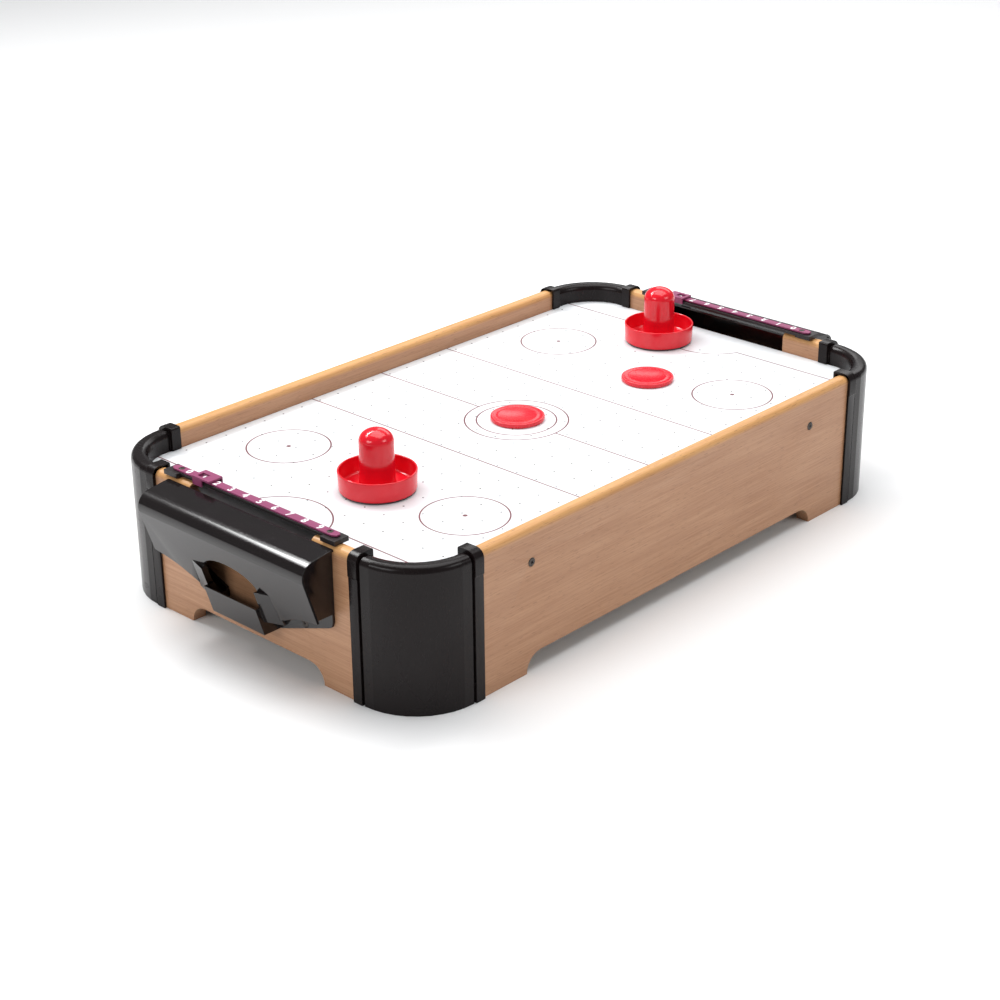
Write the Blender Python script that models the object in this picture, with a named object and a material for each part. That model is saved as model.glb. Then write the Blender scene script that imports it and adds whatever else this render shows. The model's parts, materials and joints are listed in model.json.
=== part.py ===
"""A tabletop air hockey table, modelled as its separate pieces. Metres, +Z up.

The origin is on the floor under the middle of the playing field. +Y runs along the table,
+X runs across it, and "near" is the -Y end. A rise is a height above the playing surface,
and an out is a distance outwards from an end panel's outer face.
"""

import math

import bmesh
import bpy
from mathutils import Matrix, Vector

MM = 0.001
FIT = 0.3 * MM  # gap between two pieces that touch or slide
WELD = 0.001 * MM

# Table body
TABLE_LENGTH = 510 * MM  # over the two end panels
TABLE_WIDTH = 306 * MM  # over the two side panels
FIELD_HEIGHT = 89 * MM  # floor to playing surface
RAIL_RISE = 15 * MM  # rail top above the playing surface
PANEL_THICKNESS = 10.8 * MM
RAIL_ROUNDING = 4.2 * MM
ARCH_HEIGHT = 13.3 * MM
SIDE_FOOT = 47.2 * MM  # end of a side panel to its arch
END_FOOT = 35.3 * MM
STUB_LENGTH = 41.7 * MM  # end panel's full height beside the goal
STUB_ROUNDING = 2 * MM
GOAL_DROP = 8 * MM  # playing surface to the goal notch's sill

# Boards and battens
BOARD_THICKNESS = 3.2 * MM
BOARD_CORNER = 30 * MM
PLENUM_HEIGHT = 32.5 * MM  # air chamber under the playing board
BASE_THICKNESS = 3 * MM
BATTEN_WIDTH = 12 * MM
SIDE_BATTEN_SETBACK = 17 * MM
END_BATTEN_SETBACK = 10 * MM

# Corner posts
CORNER_RADIUS = 49 * MM
CORNER_PROUD = 1 * MM  # how far a post stands out past the panels
POST_WALL = 2.4 * MM
POST_ROUNDING = 4.5 * MM
POST_STEPS = 10
GROOVE_LENGTH = 1.5 * MM
GROOVE_DEPTH = 1.5 * MM
GROOVE_DROP = 1.2 * MM
LEG_DEPTH = 5 * MM
WEB_THICKNESS = 1.5 * MM
GRIP_LENGTH = 6.5 * MM
COLLAR_OUTSIDE = 2.5 * MM
COLLAR_INSIDE = 2.2 * MM
COLLAR_CAP = 2.2 * MM
COLLAR_STEP = 0.6 * MM
COLLAR_ROUNDING = 6 * MM
LIP_ROUNDING = 1.5 * MM
JOIN = 0.5 * MM  # how far two shapes of one piece run into each other

# Goal hoods
HOOD_SETBACK = 20.6 * MM  # end of the end panel to the hood's edge
HOOD_WALL = 1.8 * MM
HOOD_BACK_RISE = 13.6 * MM
NOSE_OUT = 30.2 * MM
NOSE_RISE = 9.7 * MM
NOSE_RADIUS = 10 * MM
FRONT_SLOPE = 0.324  # out per rise, along the front face
SHELL_BOTTOM = -52 * MM
SIDE_BOTTOM = -32 * MM
SIDE_RECESS = 1.3 * MM
RAMP_THICKNESS = 1.6 * MM
LIP_REACH = 9 * MM  # how far the hood's lip runs in through the goal notch, under the score beam
LIP_THICKNESS = 1.4 * MM
LIP_DROP = 0.3 * MM
FLANGE_THICKNESS = 2 * MM
TRAY_HALF = 25 * MM
TRAY_WALL = 1.6 * MM
TRAY_BOTTOM = -61.5 * MM
TRAY_TOP = -40.5 * MM
OPENING_HALF = 26.5 * MM
OPENING_SIDE_TOP = -28.5 * MM
OPENING_TOP = -16 * MM
CHEEK_HALF = 40.5 * MM
CHEEK_BEND = 39 * MM
CHEEK_FLARE = 3 / 13
HOOD_SCREW_PLACE = 0.312  # share of the way from the cheek to the hood's edge
HOOD_SCREW_RISE = -47.2 * MM

# Score keepers
KEEPER_SHIFT = -2.3 * MM  # the score keeper's middle, off the goal's
BEAM_SETBACK = 17.5 * MM
BEAM_HEIGHT = 3.4 * MM
BEAM_WIDTH = 9.2 * MM
BEAM_INSET = 3.5 * MM  # panel's outer face to the beam's outer face
BEAM_FOOT = 13.5 * MM
BEAM_FOOT_INSET = 0.3 * MM  # panel's outer face to a foot's outer face
BEAM_RELIEF = 1.2 * MM
STRIP_THICKNESS = 1.2 * MM
STRIP_WIDTH = 6.5 * MM
STRIP_SETBACK = 3.5 * MM
STRIP_TAPER = 3 * MM
STRIP_INSET = 4 * MM
STRIP_SCREW_OFFSET = 13 * MM
SLIDER_LENGTH = 17.2 * MM
SLIDER_THICKNESS = 1.5 * MM
SLIDER_FLAP = 1.1 * MM
SLIDER_FRONT_DROP = 4.9 * MM
SLIDER_BACK_DROP = 3.5 * MM
SLIDER_FRONT_LENGTH = 9.5 * MM
SLIDER_WINDOW = (7 * MM, 5.5 * MM)
SLIDER_WINDOW_OFFSET = -2.5 * MM
SLIDER_NEAR_GAP = 14.6 * MM  # a beam's foot to the slider at rest, at the 0
SLIDER_FAR_GAP = 12.6 * MM  # the same at the far end, at the 9

# Screws: (shank radius, head radius, length)
PANEL_SCREW = (1.5 * MM, 2.9 * MM, 20 * MM)
PANEL_SCREW_Y = 151.5 * MM
PANEL_SCREW_DROP = 9.5 * MM
HOOD_SCREW = (1.4 * MM, 2.8 * MM, 10 * MM)
STRIP_SCREW = (1.1 * MM, 2.1 * MM, 14 * MM)
MODULE_SCREW = (1.2 * MM, 2.6 * MM, 5 * MM)
SCREW_STEPS = 12
HEAD_EDGE = 0.1 * MM

# Pushers and pucks
PUSHER_RADIUS = 27.3 * MM
PUSHER_TAPER = 0.5 * MM
PUSHER_RIM_HEIGHT = 15.4 * MM
PUSHER_RIM_WALL = 1.3 * MM
PUSHER_BASE = 1.5 * MM
PUSHER_FLOOR = 3.2 * MM
KNOB_RADIUS = 12 * MM
KNOB_FLARE = 0.75 * MM
KNOB_SHOULDER = 35.8 * MM
KNOB_DOME = 8.9 * MM
KNOB_WALL = 1.6 * MM
FELT_INSET = 1.3 * MM
FELT_THICKNESS = 0.9 * MM
PUSHER_STEPS = 32
PUCK_RADIUS = 19.85 * MM
PUCK_THICKNESS = 3.1 * MM
PUCK_BEVEL = 0.5 * MM
PUSHER_NEAR_X = 14.1 * MM
PUSHER_NEAR_GAP = 91 * MM  # end panel's inner face to the pusher's middle
PUSHER_FAR_X = -28.7 * MM
PUSHER_FAR_GAP = 45.2 * MM
PUCK_CENTRE = (-0.3 * MM, 1.5 * MM)
PUCK_FAR_X = 20.2 * MM
PUCK_FAR_GAP = 118.7 * MM

# Blower under the base board
FAN_HOLE_RADIUS = 42 * MM
HOUSING_RADIUS = 46 * MM
HOUSING_WALL = 2 * MM
HOUSING_DEPTH = 28 * MM
HOUSING_FLANGE = 8 * MM
FLANGE_HEIGHT = 2.2 * MM
VENTS = 12
VENT_INNER = 19 * MM
VENT_OUTER = 38 * MM
VENT_WIDTH = 5 * MM
MOTOR_RADIUS = 12 * MM
MOTOR_HEIGHT = 23.7 * MM
MOTOR_SHAFT = 1 * MM
SHAFT_LENGTH = 14 * MM
HUB_WALL = 2 * MM
HUB_HEIGHT = 6 * MM
IMPELLER_RADIUS = 40 * MM
IMPELLER_DISC = 1.5 * MM
BLADES = 8
BLADE_HEIGHT = 12 * MM
BLADE_THICKNESS = 1.2 * MM
IMPELLER_HUB = 4 * MM
IMPELLER_LIFT = 6 * MM  # base board's underside to the blades
FAN_STEPS = 32

# Battery box, switch and wires
CELL_RADIUS = 7.1 * MM
CELL_LENGTH = 50.5 * MM
CELL_NUB = (2.75 * MM, 1.5 * MM)
CELLS = 4
CELL_PITCH = 15.2 * MM
BATTERY_Y = 105 * MM
BOX_WALL = 1.8 * MM
BOX_HEIGHT = 21.5 * MM
BOX_SIDE_ROOM = 1.3 * MM
BOX_END_ROOM = 1.95 * MM
CONTACT_THICKNESS = 1 * MM
CONTACT_HEIGHT = 12 * MM
CELL_DROP = 10 * MM  # box's top to the cells' middle
DOOR_THICKNESS = 1.6 * MM
DOOR_LIFT = 1.9 * MM
DOOR_GROOVE = 1 * MM
EAR_LENGTH = 8 * MM
EAR_HEIGHT = 2 * MM
EAR_SHIFT = 18 * MM  # from the box's middle, clear of the switch
SWITCH_GAP = 7 * MM
SWITCH_SIZE = (20 * MM, 13 * MM, 14 * MM)
ROCKER_HALF = 6.2 * MM
ROCKER_WIDTH = 8.6 * MM
ROCKER_ROOM = 0.5 * MM
PIVOT_RISE = 1.5 * MM
POCKET_DEPTH = 6 * MM
WIRE_RADIUS = 0.8 * MM
WIRE_DROP = 6 * MM

# Worked out from the sizes above
HALF_LENGTH = TABLE_LENGTH / 2
HALF_WIDTH = TABLE_WIDTH / 2
INNER_X = HALF_WIDTH - PANEL_THICKNESS
INNER_Y = HALF_LENGTH - PANEL_THICKNESS
RAIL_TOP = FIELD_HEIGHT + RAIL_RISE
POST_X = HALF_WIDTH + CORNER_PROUD - CORNER_RADIUS
POST_Y = HALF_LENGTH + CORNER_PROUD - CORNER_RADIUS
PANEL_GAP = GROOVE_LENGTH + WEB_THICKNESS + FIT
SIDE_HALF = POST_Y - PANEL_GAP
END_HALF = POST_X - PANEL_GAP
NOTCH_HALF = END_HALF - STUB_LENGTH
HOOD_HALF = END_HALF - HOOD_SETBACK
BEAM_HALF = END_HALF - BEAM_SETBACK
BOARD_BOTTOM = FIELD_HEIGHT - BOARD_THICKNESS
BASE_TOP = BOARD_BOTTOM - PLENUM_HEIGHT
BASE_BOTTOM = BASE_TOP - BASE_THICKNESS
MODULE_TOP = BASE_BOTTOM - FIT
SEAT = FIELD_HEIGHT + FIT
BEAM_OUT_Y = -HALF_LENGTH + BEAM_INSET
BEAM_TOP = RAIL_TOP + FIT + BEAM_HEIGHT
STRIP_TOP = BEAM_TOP + FIT + STRIP_THICKNESS
STRIP_Y = -HALF_LENGTH + STRIP_INSET + STRIP_WIDTH / 2
STRIP_SCREW_X = NOTCH_HALF + STRIP_SCREW_OFFSET
CELL_Z = MODULE_TOP - CELL_DROP
EAR_Y = BATTERY_Y + EAR_SHIFT
BOX_HALF_X = (CELLS - 1) / 2 * CELL_PITCH + CELL_RADIUS + BOX_SIDE_ROOM + BOX_WALL
BOX_HALF_Y = CELL_LENGTH / 2 + BOX_END_ROOM + BOX_WALL
HOUSING_BOTTOM = MODULE_TOP - HOUSING_DEPTH
TURN = Matrix.Rotation(math.pi, 4, "Z")
KEEPER_PLACE = Matrix.Translation((KEEPER_SHIFT, 0, 0))
MIRROR_X = Matrix.Diagonal((-1, 1, 1, 1))
SWAP_XY = Matrix(((0, 1, 0, 0), (1, 0, 0, 0), (0, 0, 1, 0), (0, 0, 0, 1)))


# ---- Scene and materials ----


def clear_scene():
    for obj in list(bpy.data.objects):
        bpy.data.objects.remove(obj, do_unlink=True)


def make_material(name, colour, roughness, metallic=0.0):
    material = bpy.data.materials.new(name)
    material.use_nodes = True
    shader = material.node_tree.nodes["Principled BSDF"]
    shader.inputs["Base Color"].default_value = (*colour, 1)
    shader.inputs["Roughness"].default_value = roughness
    shader.inputs["Metallic"].default_value = metallic
    return material


def make_materials():
    return {
        "wood_print": make_material("wood_print", (0.62, 0.40, 0.23), 0.42),
        "black_plastic": make_material("black_plastic", (0.014, 0.012, 0.011), 0.22),
        "white_board": make_material("white_board", (0.86, 0.87, 0.88), 0.3),
        "raw_board": make_material("raw_board", (0.42, 0.29, 0.18), 0.75),
        "red_plastic": make_material("red_plastic", (0.72, 0.015, 0.03), 0.16),
        "purple_plastic": make_material("purple_plastic", (0.32, 0.055, 0.16), 0.35),
        "felt": make_material("felt", (0.04, 0.04, 0.045), 0.95),
        "steel": make_material("steel", (0.1, 0.09, 0.08), 0.35, 1.0),
        "motor_metal": make_material("motor_metal", (0.6, 0.6, 0.6), 0.3, 1.0),
        "grey_plastic": make_material("grey_plastic", (0.2, 0.2, 0.21), 0.45),
        "cell_wrap": make_material("cell_wrap", (0.05, 0.2, 0.32), 0.3),
        "wire": make_material("wire", (0.35, 0.02, 0.02), 0.4),
    }


def add_piece(name, mesh, material, location=(0, 0, 0), turn=0.0, parent=None):
    """One object for one real piece. Its material and smooth shading go on the mesh it may share."""
    mesh.materials.clear()
    mesh.materials.append(material)
    mesh.shade_smooth()
    mesh.set_sharp_from_angle(angle=math.radians(35))
    piece = bpy.data.objects.new(name, mesh)
    bpy.context.scene.collection.objects.link(piece)
    piece.location = location
    piece.rotation_euler = (0, 0, turn)
    if parent:
        piece.parent = parent
    return piece


# ---- Shapes ----


def finished(shape):
    """Turns a bmesh into a mesh whose faces point outwards."""
    bmesh.ops.recalc_face_normals(shape, faces=shape.faces)
    mesh = bpy.data.meshes.new("shape")
    shape.to_mesh(mesh)
    shape.free()
    return mesh


def loft(rings):
    """A closed solid through rings of matching points, capped at both ends."""
    shape = bmesh.new()
    rows = [[shape.verts.new(point) for point in ring] for ring in rings]
    count = len(rows[0])
    for row, following in zip(rows, rows[1:]):
        for i in range(count):
            after = (i + 1) % count
            shape.faces.new((row[i], row[after], following[after], following[i]))
    shape.faces.new(rows[0])
    shape.faces.new(rows[-1])
    return finished(shape)


def prism(outline, axis, low, high):
    """An outline pushed along an axis: (y, z) points for X, (x, z) for Y, (x, y) for Z."""
    slots = {"X": (1, 2, 0), "Y": (0, 2, 1), "Z": (0, 1, 2)}[axis]
    rings = []
    for depth in (low, high):
        ring = []
        for first, second in outline:
            point = [0, 0, 0]
            point[slots[0]] = first
            point[slots[1]] = second
            point[slots[2]] = depth
            ring.append(point)
        rings.append(ring)
    return loft(rings)


def box(low, high):
    corners = ((low[0], low[1]), (high[0], low[1]), (high[0], high[1]), (low[0], high[1]))
    return prism(corners, "Z", low[2], high[2])


def arc(centre, radii, start, end, steps):
    """Points along an elliptical arc, with its angles in degrees."""
    points = []
    for i in range(steps + 1):
        angle = math.radians(start + (end - start) * i / steps)
        points.append((centre[0] + radii[0] * math.cos(angle), centre[1] + radii[1] * math.sin(angle)))
    return points


def fillet(before, corner, after, radius, steps):
    """The arc that replaces one corner of an outline."""
    here = Vector(corner)
    backwards = (Vector(before) - here).normalized()
    forwards = (Vector(after) - here).normalized()
    half = backwards.angle(forwards) / 2
    centre = here + (backwards + forwards).normalized() * (radius / math.sin(half))
    first = here + backwards * (radius / math.tan(half)) - centre
    last = here + forwards * (radius / math.tan(half)) - centre
    start = math.atan2(first.y, first.x)
    swing = math.atan2(first.x * last.y - first.y * last.x, first.dot(last))
    return arc(centre, (radius, radius), math.degrees(start), math.degrees(start + swing), steps)


def rounded(points, radii, steps=4):
    """A closed outline with the corners that have a radius made round."""
    result = []
    for i, corner in enumerate(points):
        if radii[i]:
            after = points[(i + 1) % len(points)]
            result += fillet(points[i - 1], corner, after, radii[i], steps)
        else:
            result.append(corner)
    return result


def rounded_box_outline(half_x, half_y, radius, steps=6):
    corners = ((-half_x, -half_y), (half_x, -half_y), (half_x, half_y), (-half_x, half_y))
    return rounded(corners, (radius,) * 4, steps)


def offset_path(points, distance):
    """An open path moved sideways, to its left when the distance is positive."""
    normals = []
    for (x0, y0), (x1, y1) in zip(points, points[1:]):
        length = math.hypot(x1 - x0, y1 - y0)
        normals.append(Vector((-(y1 - y0) / length, (x1 - x0) / length)))
    result = []
    for i, point in enumerate(points):
        before = normals[max(i - 1, 0)]
        after = normals[min(i, len(normals) - 1)]
        shift = (before + after) * (distance / (1 + before.dot(after)))
        result.append((point[0] + shift.x, point[1] + shift.y))
    return result


def lathe(profile, steps):
    """A turned solid. Its (radius, z) profile runs from axis to axis, or else it is a closed ring."""
    shape = bmesh.new()
    verts = [shape.verts.new((radius, 0, z)) for radius, z in profile]
    pairs = list(zip(verts, verts[1:]))
    if profile[0][0] > 0:
        pairs.append((verts[-1], verts[0]))
    edges = [shape.edges.new(pair) for pair in pairs]
    bmesh.ops.spin(
        shape, geom=verts + edges, cent=(0, 0, 0), axis=(0, 0, 1), angle=2 * math.pi, steps=steps
    )
    bmesh.ops.remove_doubles(shape, verts=shape.verts, dist=WELD)
    return finished(shape)


def moved(mesh, matrix):
    """A copy of a mesh, moved, turned or mirrored."""
    copy = mesh.copy()
    copy.transform(matrix)
    if matrix.determinant() < 0:
        copy.flip_normals()
    return copy


def boolean(base, tool, operation):
    """The mesh that a Boolean modifier makes of two meshes. Both stand-in objects are removed."""
    target = bpy.data.objects.new("target", base)
    cutter = bpy.data.objects.new("cutter", tool)
    for obj in (target, cutter):
        bpy.context.scene.collection.objects.link(obj)
    modifier = target.modifiers.new("boolean", "BOOLEAN")
    modifier.operation = operation
    modifier.solver = "EXACT"
    modifier.object = cutter
    graph = bpy.context.evaluated_depsgraph_get()
    result = bpy.data.meshes.new_from_object(target.evaluated_get(graph))
    for obj in (target, cutter):
        bpy.data.objects.remove(obj)
    return result


def cut(base, *tools):
    for tool in tools:
        base = boolean(base, tool, "DIFFERENCE")
    return base


def join(base, *tools):
    for tool in tools:
        base = boolean(base, tool, "UNION")
    return base


# ---- Screws and their holes ----


def screw_shape(sizes, grow=0.0):
    """A countersunk screw, its head at z = 0 and its point down. Grown, it is the hole for the screw."""
    shank, head, length = sizes
    edge = HEAD_EDGE + grow
    profile = (
        (0, grow),
        (head + grow, grow),
        (head + grow, -edge),
        (shank + grow, -edge - (head - shank)),
        (shank + grow, -length - grow),
        (0, -length - grow),
    )
    return lathe(profile, SCREW_STEPS)


def screw_matrix(place, direction):
    turn = Vector((0, 0, -1)).rotation_difference(Vector(direction))
    return Matrix.Translation(place) @ turn.to_matrix().to_4x4()


def screw_hole(sizes, place, direction):
    return moved(screw_shape(sizes, FIT), screw_matrix(place, direction))


def add_screw(name, sizes, place, direction, material):
    add_piece(name, moved(screw_shape(sizes), screw_matrix(place, direction)), material)


def panel_screw_places():
    height = FIELD_HEIGHT - PANEL_SCREW_DROP
    return [(side * HALF_WIDTH, y, height) for side in (1, -1) for y in (-PANEL_SCREW_Y, PANEL_SCREW_Y)]


def strip_screw_places():
    """Both screws of the near score strip."""
    return [(KEEPER_SHIFT + x, STRIP_Y, STRIP_TOP) for x in (-STRIP_SCREW_X, STRIP_SCREW_X)]


def hood_screw_places():
    """Both screws of the near hood's flange."""
    x = across(HOOD_SCREW_PLACE)
    y = -HALF_LENGTH - FIT - FLANGE_THICKNESS
    return [(side * x, y, FIELD_HEIGHT + HOOD_SCREW_RISE) for side in (-1, 1)]


# ---- Panels, boards and battens ----


def rail_outline(inner, outer):
    """A panel's cross-section, with both top edges round."""
    points = ((inner, 0), (outer, 0), (outer, RAIL_TOP), (inner, RAIL_TOP))
    return rounded(points, (0, 0, RAIL_ROUNDING, RAIL_ROUNDING), 4)


def arch_outline(foot):
    """The low arch between a panel's two feet."""
    middle = foot - ARCH_HEIGHT
    radii = (ARCH_HEIGHT, ARCH_HEIGHT)
    right = arc((middle, 0), radii, 0, 90, 6)
    left = arc((-middle, 0), radii, 90, 180, 6)
    return [(-foot, -ARCH_HEIGHT), (foot, -ARCH_HEIGHT)] + right + left


def side_panel():
    """The +X side panel."""
    panel = prism(rail_outline(INNER_X, HALF_WIDTH), "Y", -SIDE_HALF, SIDE_HALF)
    arch = prism(arch_outline(SIDE_HALF - SIDE_FOOT), "X", INNER_X - JOIN, HALF_WIDTH + JOIN)
    holes = [screw_hole(PANEL_SCREW, place, (-1, 0, 0)) for place in panel_screw_places() if place[0] > 0]
    return cut(panel, arch, *holes)


def end_panel():
    """The -Y end panel, with the goal notch in its top edge."""
    panel = prism(rail_outline(-INNER_Y, -HALF_LENGTH), "X", -END_HALF, END_HALF)
    low = -HALF_LENGTH - JOIN
    high = -INNER_Y + JOIN
    arch = prism(arch_outline(END_HALF - END_FOOT), "Y", low, high)
    top = RAIL_TOP + ARCH_HEIGHT
    sill = FIELD_HEIGHT - GOAL_DROP
    notch = (
        (-NOTCH_HALF, sill),
        (NOTCH_HALF, sill),
        (NOTCH_HALF, top),
        (-NOTCH_HALF, top),
    )
    goal = prism(rounded(notch, (STUB_ROUNDING, STUB_ROUNDING, 0, 0)), "Y", low, high)
    holes = [screw_hole(STRIP_SCREW, place, (0, 0, -1)) for place in strip_screw_places()]
    holes += [screw_hole(HOOD_SCREW, place, (0, 1, 0)) for place in hood_screw_places()]
    return cut(panel, arch, goal, *holes)


def play_board():
    outline = rounded_box_outline(INNER_X - FIT, INNER_Y - FIT, BOARD_CORNER)
    return prism(outline, "Z", BOARD_BOTTOM, FIELD_HEIGHT)


def base_board():
    outline = rounded_box_outline(INNER_X - 2 * FIT, INNER_Y - 2 * FIT, BOARD_CORNER)
    board = prism(outline, "Z", BASE_BOTTOM, BASE_TOP)
    circle = arc((0, 0), (FAN_HOLE_RADIUS, FAN_HOLE_RADIUS), 0, 360, FAN_STEPS)[:-1]
    hole = prism(circle, "Z", BASE_BOTTOM - JOIN, BASE_TOP + JOIN)
    screws = [screw_hole(MODULE_SCREW, place, (0, 0, 1)) for place in module_screw_places()]
    return cut(board, hole, *screws)


def side_batten():
    """The batten under the +X edge of the playing board."""
    outer = INNER_X - FIT
    half = POST_Y - SIDE_BATTEN_SETBACK
    low = (outer - BATTEN_WIDTH, -half, BASE_TOP + FIT)
    batten = box(low, (outer, half, BOARD_BOTTOM - FIT))
    holes = [screw_hole(PANEL_SCREW, place, (-1, 0, 0)) for place in panel_screw_places() if place[0] > 0]
    return cut(batten, *holes)


def end_batten():
    """The batten under the -Y edge of the playing board."""
    outer = -INNER_Y + FIT
    half = POST_X - END_BATTEN_SETBACK
    return box((-half, outer, BASE_TOP + FIT), (half, outer + BATTEN_WIDTH, BOARD_BOTTOM - FIT))


# ---- Corner posts, about the middle of their own bend ----


def post_section():
    """The hook-shaped wall, as (radius, z): long outside, over the rail, short inside."""
    outer = CORNER_RADIUS
    inner = CORNER_RADIUS - CORNER_PROUD - PANEL_THICKNESS
    points = (
        (outer, 0),
        (outer, RAIL_TOP),
        (inner, RAIL_TOP),
        (inner, SEAT),
        (inner + POST_WALL, SEAT),
        (inner + POST_WALL, RAIL_TOP - POST_WALL),
        (outer - POST_WALL, RAIL_TOP - POST_WALL),
        (outer - POST_WALL, 0),
    )
    return rounded(points, (0, POST_ROUNDING, POST_ROUNDING, 0, 0, 0, 0, 0), 4)


def post_neck():
    """The groove between the bend and the collar, which runs into both."""
    inset = FIT / 2
    outer = CORNER_RADIUS - GROOVE_DEPTH
    inner = CORNER_RADIUS - CORNER_PROUD - PANEL_THICKNESS + inset
    top = RAIL_TOP - GROOVE_DROP
    leg = outer - LEG_DEPTH
    points = ((outer, 0), (outer, top), (inner, top), (inner, SEAT + inset), (leg, SEAT + inset), (leg, 0))
    outline = rounded(points, (0, POST_ROUNDING, POST_ROUNDING, 0, 0, 0), 4)
    return prism(outline, "Y", -GROOVE_LENGTH - JOIN, JOIN)


def post_collar():
    """The channel that grips a panel's end."""
    face = CORNER_RADIUS - CORNER_PROUD
    outer = face + COLLAR_OUTSIDE
    inner = face - PANEL_THICKNESS - COLLAR_INSIDE
    top = RAIL_TOP + COLLAR_CAP
    points = (
        (outer - COLLAR_STEP, 0),
        (outer - COLLAR_STEP, FIELD_HEIGHT),
        (outer, FIELD_HEIGHT + COLLAR_STEP),
        (outer, top),
        (inner, top),
        (inner, SEAT),
        (outer - LEG_DEPTH, SEAT),
        (outer - LEG_DEPTH, 0),
    )
    outline = rounded(points, (0, 0, 0, COLLAR_ROUNDING, LIP_ROUNDING, 0, 0, 0), 4)
    end = GROOVE_LENGTH + WEB_THICKNESS
    collar = prism(outline, "Y", -end - GRIP_LENGTH, -GROOVE_LENGTH)
    slot_low = (face - PANEL_THICKNESS - FIT, -end - 2 * GRIP_LENGTH, -JOIN)
    slot = box(slot_low, (face + FIT, -end, RAIL_TOP + FIT))
    return cut(collar, slot)


def corner_post():
    section = post_section()
    rings = []
    for step in range(POST_STEPS + 1):
        angle = math.pi / 2 * step / POST_STEPS
        rings.append([(r * math.cos(angle), r * math.sin(angle), z) for r, z in section])
    end = join(post_collar(), post_neck())
    return join(loft(rings), end, moved(end, SWAP_XY))


# ---- Goal hoods, modelled at the near end ----


def across(share):
    """A place across the hood: 0 is at the cheek's edge, 1 at the hood's edge."""
    return CHEEK_HALF + share * (HOOD_HALF - CHEEK_HALF)


def at_hood(points):
    """(out, rise) points as (y, z)."""
    return [(-HALF_LENGTH - out, FIELD_HEIGHT + rise) for out, rise in points]


def front_out(rise):
    return NOSE_OUT - FRONT_SLOPE * (NOSE_RISE - rise)


def hood_path(bottom):
    """The outside of the hood's cross-section, from the panel over the nose and down the front."""
    start = (FIT, HOOD_BACK_RISE)
    nose = (NOSE_OUT, NOSE_RISE)
    end = (front_out(bottom), bottom)
    return [start] + fillet(start, nose, end, NOSE_RADIUS, 7) + [end]


def hood_shell():
    """The top and the front of the hood, with its lower edge and the finger opening cut out."""
    outside = hood_path(SHELL_BOTTOM)
    section = outside + offset_path(outside, -HOOD_WALL)[::-1]
    shell = prism(at_hood(section), "X", -HOOD_HALF, HOOD_HALF)
    edge = ((1.02, -33), (1, -33), (0.657, -35.5), (0.425, -38), (0.168, -42.5), (0, -46))
    right = [(across(share), FIELD_HEIGHT + rise * MM) for share, rise in edge]
    side_top = FIELD_HEIGHT + OPENING_SIDE_TOP
    right.append((CHEEK_HALF - 0.6 * MM, FIELD_HEIGHT + TRAY_TOP))
    right.append((CHEEK_BEND - 0.5 * MM, side_top + 1 * MM))
    rise = OPENING_TOP - OPENING_SIDE_TOP
    curve = arc((0, side_top), (OPENING_HALF, rise), 0, 180, 14)
    left = [(-x, z) for x, z in reversed(right)]
    below = FIELD_HEIGHT + 1.3 * SHELL_BOTTOM
    outline = [(-across(1.02), below), (across(1.02), below)] + right + curve + left
    opening = prism(outline, "Y", -HALF_LENGTH - 1.5 * NOSE_OUT, -HALF_LENGTH + JOIN)
    return cut(shell, opening)


def hood_filling(bottom, low, high):
    """Everything under the middle of the hood's wall, between two planes across."""
    middle = offset_path(hood_path(bottom), -HOOD_WALL / 2)
    return prism(at_hood(middle + [(FIT, bottom)]), "X", low, high)


def hood_ramp():
    """The +X sloping underside, which carries the puck towards the tray."""
    top = [(across(0.94), -31), (across(0.451), -36), (across(0.09), -43.5), (TRAY_HALF + JOIN, -51)]
    upper = [(x, FIELD_HEIGHT + rise * MM) for x, rise in top]
    lower = [(x, z - RAMP_THICKNESS) for x, z in reversed(upper)]
    ramp = prism(upper + lower, "Y", -HALF_LENGTH - 2 * NOSE_OUT, -HALF_LENGTH - FIT)
    return boolean(ramp, hood_filling(1.3 * SHELL_BOTTOM, 0, HOOD_HALF), "INTERSECT")


def hood_flange():
    """The +X half of the flat flange that is screwed to the end panel."""
    outer = ((0.966, -30), (0.966, -38), (0.936, -41.5), (0.863, -43))
    points = [(across(share), FIELD_HEIGHT + rise * MM) for share, rise in outer]
    points.append((TRAY_HALF, FIELD_HEIGHT + TRAY_BOTTOM + JOIN))
    points.append((TRAY_HALF, FIELD_HEIGHT - 48 * MM))
    inner = ((0.09, -41), (0.451, -34))
    points += [(across(share), FIELD_HEIGHT + rise * MM) for share, rise in inner]
    return prism(points, "Y", -HALF_LENGTH - FIT - FLANGE_THICKNESS, -HALF_LENGTH - FIT)


def hood_cheek():
    """The +X wall beside the finger opening, which leans forwards to the opening's edge."""
    points = (
        (OPENING_HALF - 0.5 * MM, OPENING_SIDE_TOP + 1 * MM),
        (CHEEK_BEND + 0.8 * MM, OPENING_SIDE_TOP + 2.2 * MM),
        (CHEEK_HALF + 0.7 * MM, TRAY_TOP - 2.5 * MM),
        (CHEEK_HALF + 1.5 * MM, TRAY_TOP - 9.5 * MM),
        (TRAY_HALF - 0.2 * MM, TRAY_TOP - 11.5 * MM),
        (TRAY_HALF - 0.2 * MM, TRAY_TOP - 0.5 * MM),
        (OPENING_HALF - 0.5 * MM, TRAY_TOP - 0.5 * MM),
    )
    front = []
    back = []
    for x, rise in points:
        face = -HALF_LENGTH - front_out(rise)
        front.append((x, face - CHEEK_FLARE * (CHEEK_BEND - x), FIELD_HEIGHT + rise))
        back.append((x, face + HOOD_WALL, FIELD_HEIGHT + rise))
    return loft([front, back])


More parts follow.
